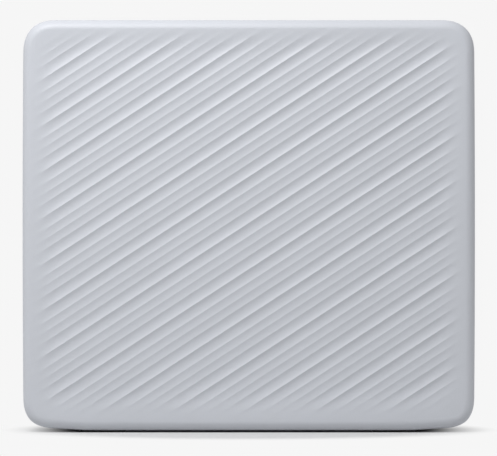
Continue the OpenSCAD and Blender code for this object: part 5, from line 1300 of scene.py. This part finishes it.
# ------------------------------------------------------------ main board
# A green glass-epoxy board with chips, a tinned shield can, connectors and
# rows of small soldered parts, held on four posts by zinc-plated screws.
def board_material():
    """Solder mask over copper: blocks of level or upright tracks, vias between them with painted shade in their
    holes, and the weave below.
    """
    mat, tree = new_material("green_circuit_board")
    place = add(tree, "ShaderNodeTexCoord").outputs["Object"]
    axes = add(tree, "ShaderNodeSeparateXYZ", {"Vector": place})
    blocks = add(tree, "ShaderNodeTexVoronoi", {"Vector": place, "Scale": 125.0}, distance="MANHATTAN",
                 feature="F1")
    kind = add(tree, "ShaderNodeSeparateColor", {0: blocks.outputs["Color"]})
    strips = []
    for axis, low, high in (("X", 0.30, 0.66), ("Z", 0.66, 1.01)):
        wave = add(tree, "ShaderNodeMath", {0: axes.outputs[axis], 1: 0.62 * MM}, operation="PINGPONG")
        strip = add(tree, "ShaderNodeMapRange", {"Value": wave.outputs[0], "From Min": 0.30 * MM,
                                                 "From Max": 0.36 * MM})
        above = add(tree, "ShaderNodeMath", {0: kind.outputs[0], 1: low}, operation="GREATER_THAN")
        under = add(tree, "ShaderNodeMath", {0: kind.outputs[0], 1: high}, operation="LESS_THAN")
        within = add(tree, "ShaderNodeMath", {0: above.outputs[0], 1: under.outputs[0]}, operation="MULTIPLY")
        strips.append(add(tree, "ShaderNodeMath", {0: strip.outputs["Result"], 1: within.outputs[0]},
                          operation="MULTIPLY"))
    tracks = add(tree, "ShaderNodeMath", {0: strips[0].outputs[0], 1: strips[1].outputs[0]}, operation="ADD")
    pour = add(tree, "ShaderNodeMath", {0: kind.outputs[0], 1: 0.30}, operation="LESS_THAN")
    copper = add(tree, "ShaderNodeMath", {0: tracks.outputs[0], 1: pour.outputs[0]}, operation="ADD")
    spots = add(tree, "ShaderNodeTexVoronoi", {"Vector": place, "Scale": 290.0, "Randomness": 0.8},
                feature="F1")
    chance = add(tree, "ShaderNodeSeparateColor", {0: spots.outputs["Color"]})
    rare = add(tree, "ShaderNodeMath", {0: chance.outputs[0], 1: 0.62}, operation="GREATER_THAN")
    ring_zone = add(tree, "ShaderNodeMapRange", {"Value": spots.outputs["Distance"], "From Min": 0.115,
                                                 "From Max": 0.095})
    # the via holes are painted near black: painted shade, not a hole cut in the board
    hole_shade_zone = add(tree, "ShaderNodeMapRange", {"Value": spots.outputs["Distance"], "From Min": 0.055,
                                                 "From Max": 0.04})
    gold = add(tree, "ShaderNodeMath", {0: ring_zone.outputs["Result"], 1: rare.outputs[0]},
               operation="MULTIPLY")
    painted_hole_shade = add(tree, "ShaderNodeMath", {0: hole_shade_zone.outputs["Result"], 1: rare.outputs[0]},
               operation="MULTIPLY")
    mask = add(tree, "ShaderNodeMix", {0: copper.outputs[0], 6: (0.007, 0.060, 0.025, 1),
                                       7: (0.014, 0.105, 0.043, 1)}, data_type="RGBA")
    plated = add(tree, "ShaderNodeMix", {0: gold.outputs[0], 6: mask.outputs[2], 7: (0.70, 0.52, 0.22, 1)},
                 data_type="RGBA")
    # painted shade: the via holes are mixed in near black
    paint = add(tree, "ShaderNodeMix", {0: painted_hole_shade.outputs[0], 6: plated.outputs[2], 7: (0.01, 0.01, 0.01, 1)},
                data_type="RGBA")
    weave = add(tree, "ShaderNodeTexNoise", {"Vector": place, "Scale": 1600.0, "Detail": 2.0})
    height = add(tree, "ShaderNodeMath", {0: weave.outputs["Fac"], 1: 0.25, 2: copper.outputs[0]},
                 operation="MULTIPLY_ADD")
    gloss = add(tree, "ShaderNodeMapRange", {"Value": weave.outputs["Fac"], "To Min": 0.22, "To Max": 0.36})
    bump = add(tree, "ShaderNodeBump", {"Height": height.outputs[0], "Strength": 0.3, "Distance": 0.03 * MM})
    skin = add(tree, "ShaderNodeBsdfPrincipled", {"Base Color": paint.outputs[2], "Metallic": gold.outputs[0],
                                                  "Roughness": gloss.outputs[0],
                                                  "Normal": bump.outputs["Normal"]})
    add(tree, "ShaderNodeOutputMaterial", {"Surface": skin.outputs["BSDF"]})
    return mat

circuit = board_material()
chip_plastic = moulded("chip_epoxy", (0.018, 0.018, 0.020), 0.48, grain=1800.0, depth=0.01, mottle=0.06)
solder = metal("tinned_solder", (0.62, 0.62, 0.63), 0.30, scale=1500.0)
ceramic = moulded("tan_ceramic", (0.30, 0.20, 0.12), 0.5, grain=2000.0, depth=0.01, mottle=0.10)
moulding("main_board", "casing", "board", circuit, 0.05)
moulding("shield_can", "casing", "can", can_steel, 0.25)
BOARD_Y = -8.38

def legs(bm, x, z, w, h, count, both):
    """Gull-wing leads along two or four sides of a chip that stands on the board."""
    for k in range(count):
        for side in (-1, 1):
            u = (k - (count - 1) / 2) * (w - 1.0) / count
            stack(bm, "y", [(BOARD_Y, ring(x + u, z + side * (h / 2 - 0.28), 0.22, 0.5, 0.02, 1)),
                            (BOARD_Y + 0.35, ring(x + u, z + side * (h / 2 - 0.38), 0.22, 0.3, 0.02, 1))])
            if both:
                v = (k - (count - 1) / 2) * (h - 1.0) / count
                stack(bm, "y", [(BOARD_Y, ring(x + side * (w / 2 - 0.28), z + v, 0.5, 0.22, 0.02, 1)),
                                (BOARD_Y + 0.35, ring(x + side * (w / 2 - 0.38), z + v, 0.3, 0.22, 0.02, 1))])

# x, z, width, height, thickness, leads on a side, whether on four sides
CHIPS = [(1.13, 25.0, 10, 10, 1.38, 12, True), (18.17, 20.5, 8, 5, 1.38, 8, False),
         (-48.93, 39.0, 6, 6, 1.18, 8, True), (-64.2, 31.0, 3, 3.4, 2.38, 2, False),
         (27.22, 31.0, 6, 6, 2.38, 0, False)]
bodies, feet_of_chips = bmesh.new(), bmesh.new()
for x, z, w, h, t, count, both in CHIPS:
    bw, bh = (w - 0.9, h - 0.9) if count > 2 else (w, h)
    stack(bodies, "y", [(BOARD_Y + 0.08, ring(x, z, bw, bh, 0.1, 2)),
                        (BOARD_Y + t / 2, ring(x, z, bw + 0.1, bh + 0.1, 0.12, 2)),
                        (BOARD_Y + t - 0.06, ring(x, z, bw - 0.1, bh - 0.1, 0.1, 2)),
                        (BOARD_Y + t, ring(x, z, bw - 0.3, bh - 0.3, 0.1, 2))])
    if count:
        legs(feet_of_chips, x, z, w, h, count, both)
chips = piece("board_chips", bodies, chip_plastic, solder, ceramic)
pins = piece("chip_legs", feet_of_chips)
for face in pins.data.polygons:
    face.material_index = 1

def small_parts_tree():
    """Geometry nodes that set small parts on given spots, thinned out by chance and some turned upright."""
    tree, given = new_tree("small_parts", part="Object", share="Float", seed="Int")
    spots = add(tree, "GeometryNodeMeshToPoints", {"Mesh": given["Geometry"]})
    keep = add(tree, "FunctionNodeRandomValue", {"Probability": given["Share"], "Seed": given["Seed"]},
               data_type="BOOLEAN")
    quarter = add(tree, "FunctionNodeRandomValue", {"Seed": given["Seed"]}, data_type="INT")
    for socket in quarter.inputs:
        if socket.name == "Max" and socket.type == "INT":
            socket.default_value = 1
    turn = add(tree, "ShaderNodeMath", {0: [o for o in quarter.outputs if o.type == "INT"][0], 1: math.pi / 2},
               operation="MULTIPLY")
    aim = add(tree, "ShaderNodeCombineXYZ", {"Y": turn.outputs[0]})
    part = add(tree, "GeometryNodeObjectInfo", {"Object": given["Part"]})
    copies = add(tree, "GeometryNodeInstanceOnPoints",
                 {"Points": spots.outputs["Points"], "Instance": part.outputs["Geometry"],
                  "Selection": [o for o in keep.outputs if o.type == "BOOLEAN"][0],
                  "Rotation": aim.outputs[0]})
    which = add(tree, "GeometryNodeInputMaterialIndex").outputs["Material Index"]
    middle = add(tree, "FunctionNodeCompare", data_type="INT", operation="EQUAL")
    whole = [i for i in middle.inputs if i.type == "INT"]
    tree.links.new(which, whole[0])
    whole[1].default_value = 0
    return end_tree(tree, given, copies.outputs["Instances"], only=middle.outputs[0])

def small_part(length, width, height):
    """A chip resistor or capacitor: a body between two tinned ends, standing on y = 0."""
    bm = bmesh.new()
    for a, b in ((-0.5, -0.28), (-0.28, 0.28), (0.28, 0.5)):
        grow = 0.0 if a == -0.28 else 0.03
        stack(bm, "x", [(a * length, ring(height / 2, 0, height, width - 0.06 + grow, 0.05, 1)),
                        (b * length, ring(height / 2, 0, height, width - 0.06 + grow, 0.05, 1))])
    obj = piece("small_part", bm, ceramic, solder)
    for face in obj.data.polygons:
        face.material_index = 0 if abs(face.center.x) < 0.29 * length * MM else 1
    return obj

small_parts = small_parts_tree()
# what is taken: (x, z, half width, half height)
blocked = [(x, z, w / 2 + 0.6, h / 2 + 0.6) for x, z, w, h, *_ in CHIPS]
blocked += [(-23.9, 28, 12.7, 12.7), (3.25, 46.4, 3.6, 3.0), (17, 46.4, 5.4, 3.0), (32, 46.4, 3.0, 3.0),
            (35.75, 38.1, 3.0, 3.0), (-64.4, 22, 3.6, 4.6), (-65.4, 38, 1.9, 1.8), (-66, 31, 2.6, 3.0)]
blocked += [(x, z, 2.6, 2.6) for x, z in BOARD_SCREWS]
SPOT_STEP = 2.0                 # spacing of the places where a small part may stand
free = {"tan": [], "dark": []}
for i in range(52):
    for k in range(19):
        x, z = -64.6 + i * SPOT_STEP, 12.0 + k * SPOT_STEP
        if not any(abs(x - a) < w and abs(z - b) < h for a, b, w, h in blocked):
            free["tan" if (i + 2 * k) % 3 else "dark"].append((x * MM, BOARD_Y * MM, z * MM))
loose = []
for k, (kind, body, size, share) in enumerate((("tan", ceramic, (1.0, 0.5, 0.45), 0.34),
                                               ("dark", chip_plastic, (1.6, 0.8, 0.4), 0.30))):
    part = small_part(*size)
    part.data.materials[0] = body
    grid_mesh = bpy.data.meshes.new("grid")
    grid_mesh.from_pydata(free[kind], [], [])
    field = bpy.data.objects.new(f"small_parts_{kind}", grid_mesh)
    bpy.context.collection.objects.link(field)
    grown(field, small_parts, part=part, share=share, seed=11 + k, finish=body)
    order = [m.name if m else "" for m in field.data.materials]
    for face in field.data.polygons:
        mat = order[face.material_index] if order else ""
        face.material_index = 1 if mat == solder.name else (2 if mat == ceramic.name else 0)
    bpy.data.objects.remove(part)
    loose.append(field)
joined(chips, pins, *loose)
shaded(chips, 35)
fitted(chips, "casing", "chip", "board_chips")

# connectors of the board: nylon housings with a slot for each contact, (x from, to, z from, to, contacts)
bm, slots = bmesh.new(), bmesh.new()
for x0, x1, z0, z1, ways in ((0.6, 5.9, 44.4, 48.38, 3), (12.4, 21.6, 44.4, 48.38, 14),
                             (30.2, 33.9, 44.4, 48.38, 2), (34.0, 38, 35.8, 40.4, 5)):
    x, z, w, h = (x0 + x1) / 2, (z0 + z1) / 2, x1 - x0, z1 - z0
    stack(bm, "y", [(BOARD_Y, ring(x, z, w, h, 0.15, 2)), (BOARD_Y + 2.05, ring(x, z, w, h, 0.15, 2)),
                    (BOARD_Y + 2.18, ring(x, z, w - 0.26, h - 0.26, 0.1, 2))])
    pitch = (w - 1.0) / ways
    for k in range(ways):
        slot = ring(x0 + 0.5 + (k + 0.5) * pitch, z, 0.55 * pitch, h - 1.6, 0.05, 1)
        stack(slots, "y", [(BOARD_Y + 0.9, slot), (BOARD_Y + 3, slot)])
connectors = piece("board_connectors", bm, nylon)
cut_away(connectors, slots)
shaded(connectors, 30)
fitted(connectors, "casing", "connector", "board_connectors")
screws("board_screws", "casing", "bright_screw", zinc_steel, [
    ((0.7, 4, 1.3, 0.6, 0.5), [(x, BOARD_Y, z, "front") for x, z in BOARD_SCREWS])])

# the charging socket: a drawn stainless shell round a black tongue with contacts
bm = bmesh.new()
def shell_ring(inset):
    """The socket's outline, drawn in by an inset."""
    return ring(-7.04, 22, 2.68 - 2 * inset, 7.6 - 2 * inset, 1.3 - inset)
stack(bm, "x", [(-61.9, shell_ring(0.12)), (-62.05, shell_ring(0.0)), (-67.1, shell_ring(0.0)),
                (-67.2, shell_ring(0.08)), (-67.2, shell_ring(0.25)), (-62.5, shell_ring(0.3))])
socket = piece("charging_socket", bm, can_steel, chip_plastic, brass)
tongue = bmesh.new()
stack(tongue, "x", [(-66.5, ring(-7.05, 22, 0.6, 5.0, 0.2, 3)), (-66.3, ring(-7.05, 22, 0.7, 5.2, 0.25, 3)),
                    (-62.2, ring(-7.05, 22, 0.7, 5.2, 0.25, 3))])
tongue_obj = piece("tongue", tongue)
contacts = bmesh.new()
for k in range(12):
    z = 22 + (k - 5.5) * 0.4
    for y in (-7.42, -6.68):
        stack(contacts, "x", [(-66.0, ring(y, z, 0.06, 0.22, 0.02, 1)),
                              (-63.0, ring(y, z, 0.06, 0.22, 0.02, 1))])
contact_obj = piece("contacts", contacts)
for face in tongue_obj.data.polygons:
    face.material_index = 1
for face in contact_obj.data.polygons:
    face.material_index = 2
joined(socket, tongue_obj, contact_obj)
shaded(socket, 35)
fitted(socket, "casing", "can", "charging_socket")


# --------------------------------------------------------------- controls
# The round grey power button inside a ring of clear acrylic that lights up;
# behind it a coil spring, a switch and a small board with the door switch.
bm = bmesh.new()
turned(bm, BUTTON_Y, BUTTON_Z, [(63.3, 1.2), (63.5, 1.4), (65.7, 1.4), (65.7, 6.1), (65.8, 6.2), (66.6, 6.2),
                                (66.7, 6.1), (66.7, 5.2), (68.9, 5.2), (69.1, 5.16), (69.25, 5.02),
                                (69.32, 4.8), (69.34, 4.5), (69.31, 3.5), (69.26, 2.4), (69.22, 1.2),
                                (69.21, 0.4)], 96)
button = piece("power_button", bm, casing_plastic)
shaded(button, 32)
fitted(button, "power_button", "casing", "power_button")

clear_acrylic = moulded("frosted_acrylic", (0.80, 0.81, 0.83), 0.25, grain=1500.0, depth=0.008, mottle=0.02)
moulding("light_ring", "casing", "light_guide", clear_acrylic, 0.1)
moulding("charge_light", "casing", "light_guide", clear_acrylic, 0.12)
button_coil = coils("button_spring", "casing", 2.2, 0.18, 4, 3.32, [(62.33, BUTTON_Y, BUTTON_Z, "left")])
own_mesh(button_coil)
moulding("button_board", "casing", "board", circuit, 0.05)
moulding("button_switch", "casing", "chip", chip_plastic, 0.12)
moulding("door_switch", "casing", "chip", chip_plastic, 0.12)
bm = bmesh.new()
stack(bm, "y", [(y, ring(61.8, 43, d, d, count=8)) for y, d in
                ((7.25, 1.8), (7.35, 2.0), (14.3, 2.0), (14.6, 1.7), (14.75, 1.0))])
plunger = piece("switch_plunger", bm, nylon)
shaded(plunger, 30)
fitted(plunger, "switch_plunger", "connector", "switch_plunger")
bm = bmesh.new()
turned(bm, PORT_Y, RESET_Z, [(-66.3, 1.55), (-66.45, 1.7), (-67.15, 1.7), (-67.3, 1.55), (-67.3, 1.0),
                             (-69.2, 1.0), (-69.35, 0.9), (-69.4, 0.7)], 32)
reset = piece("reset_button", bm, casing_plastic)
shaded(reset, 30)
fitted(reset, "reset_button", "casing", "reset_button")
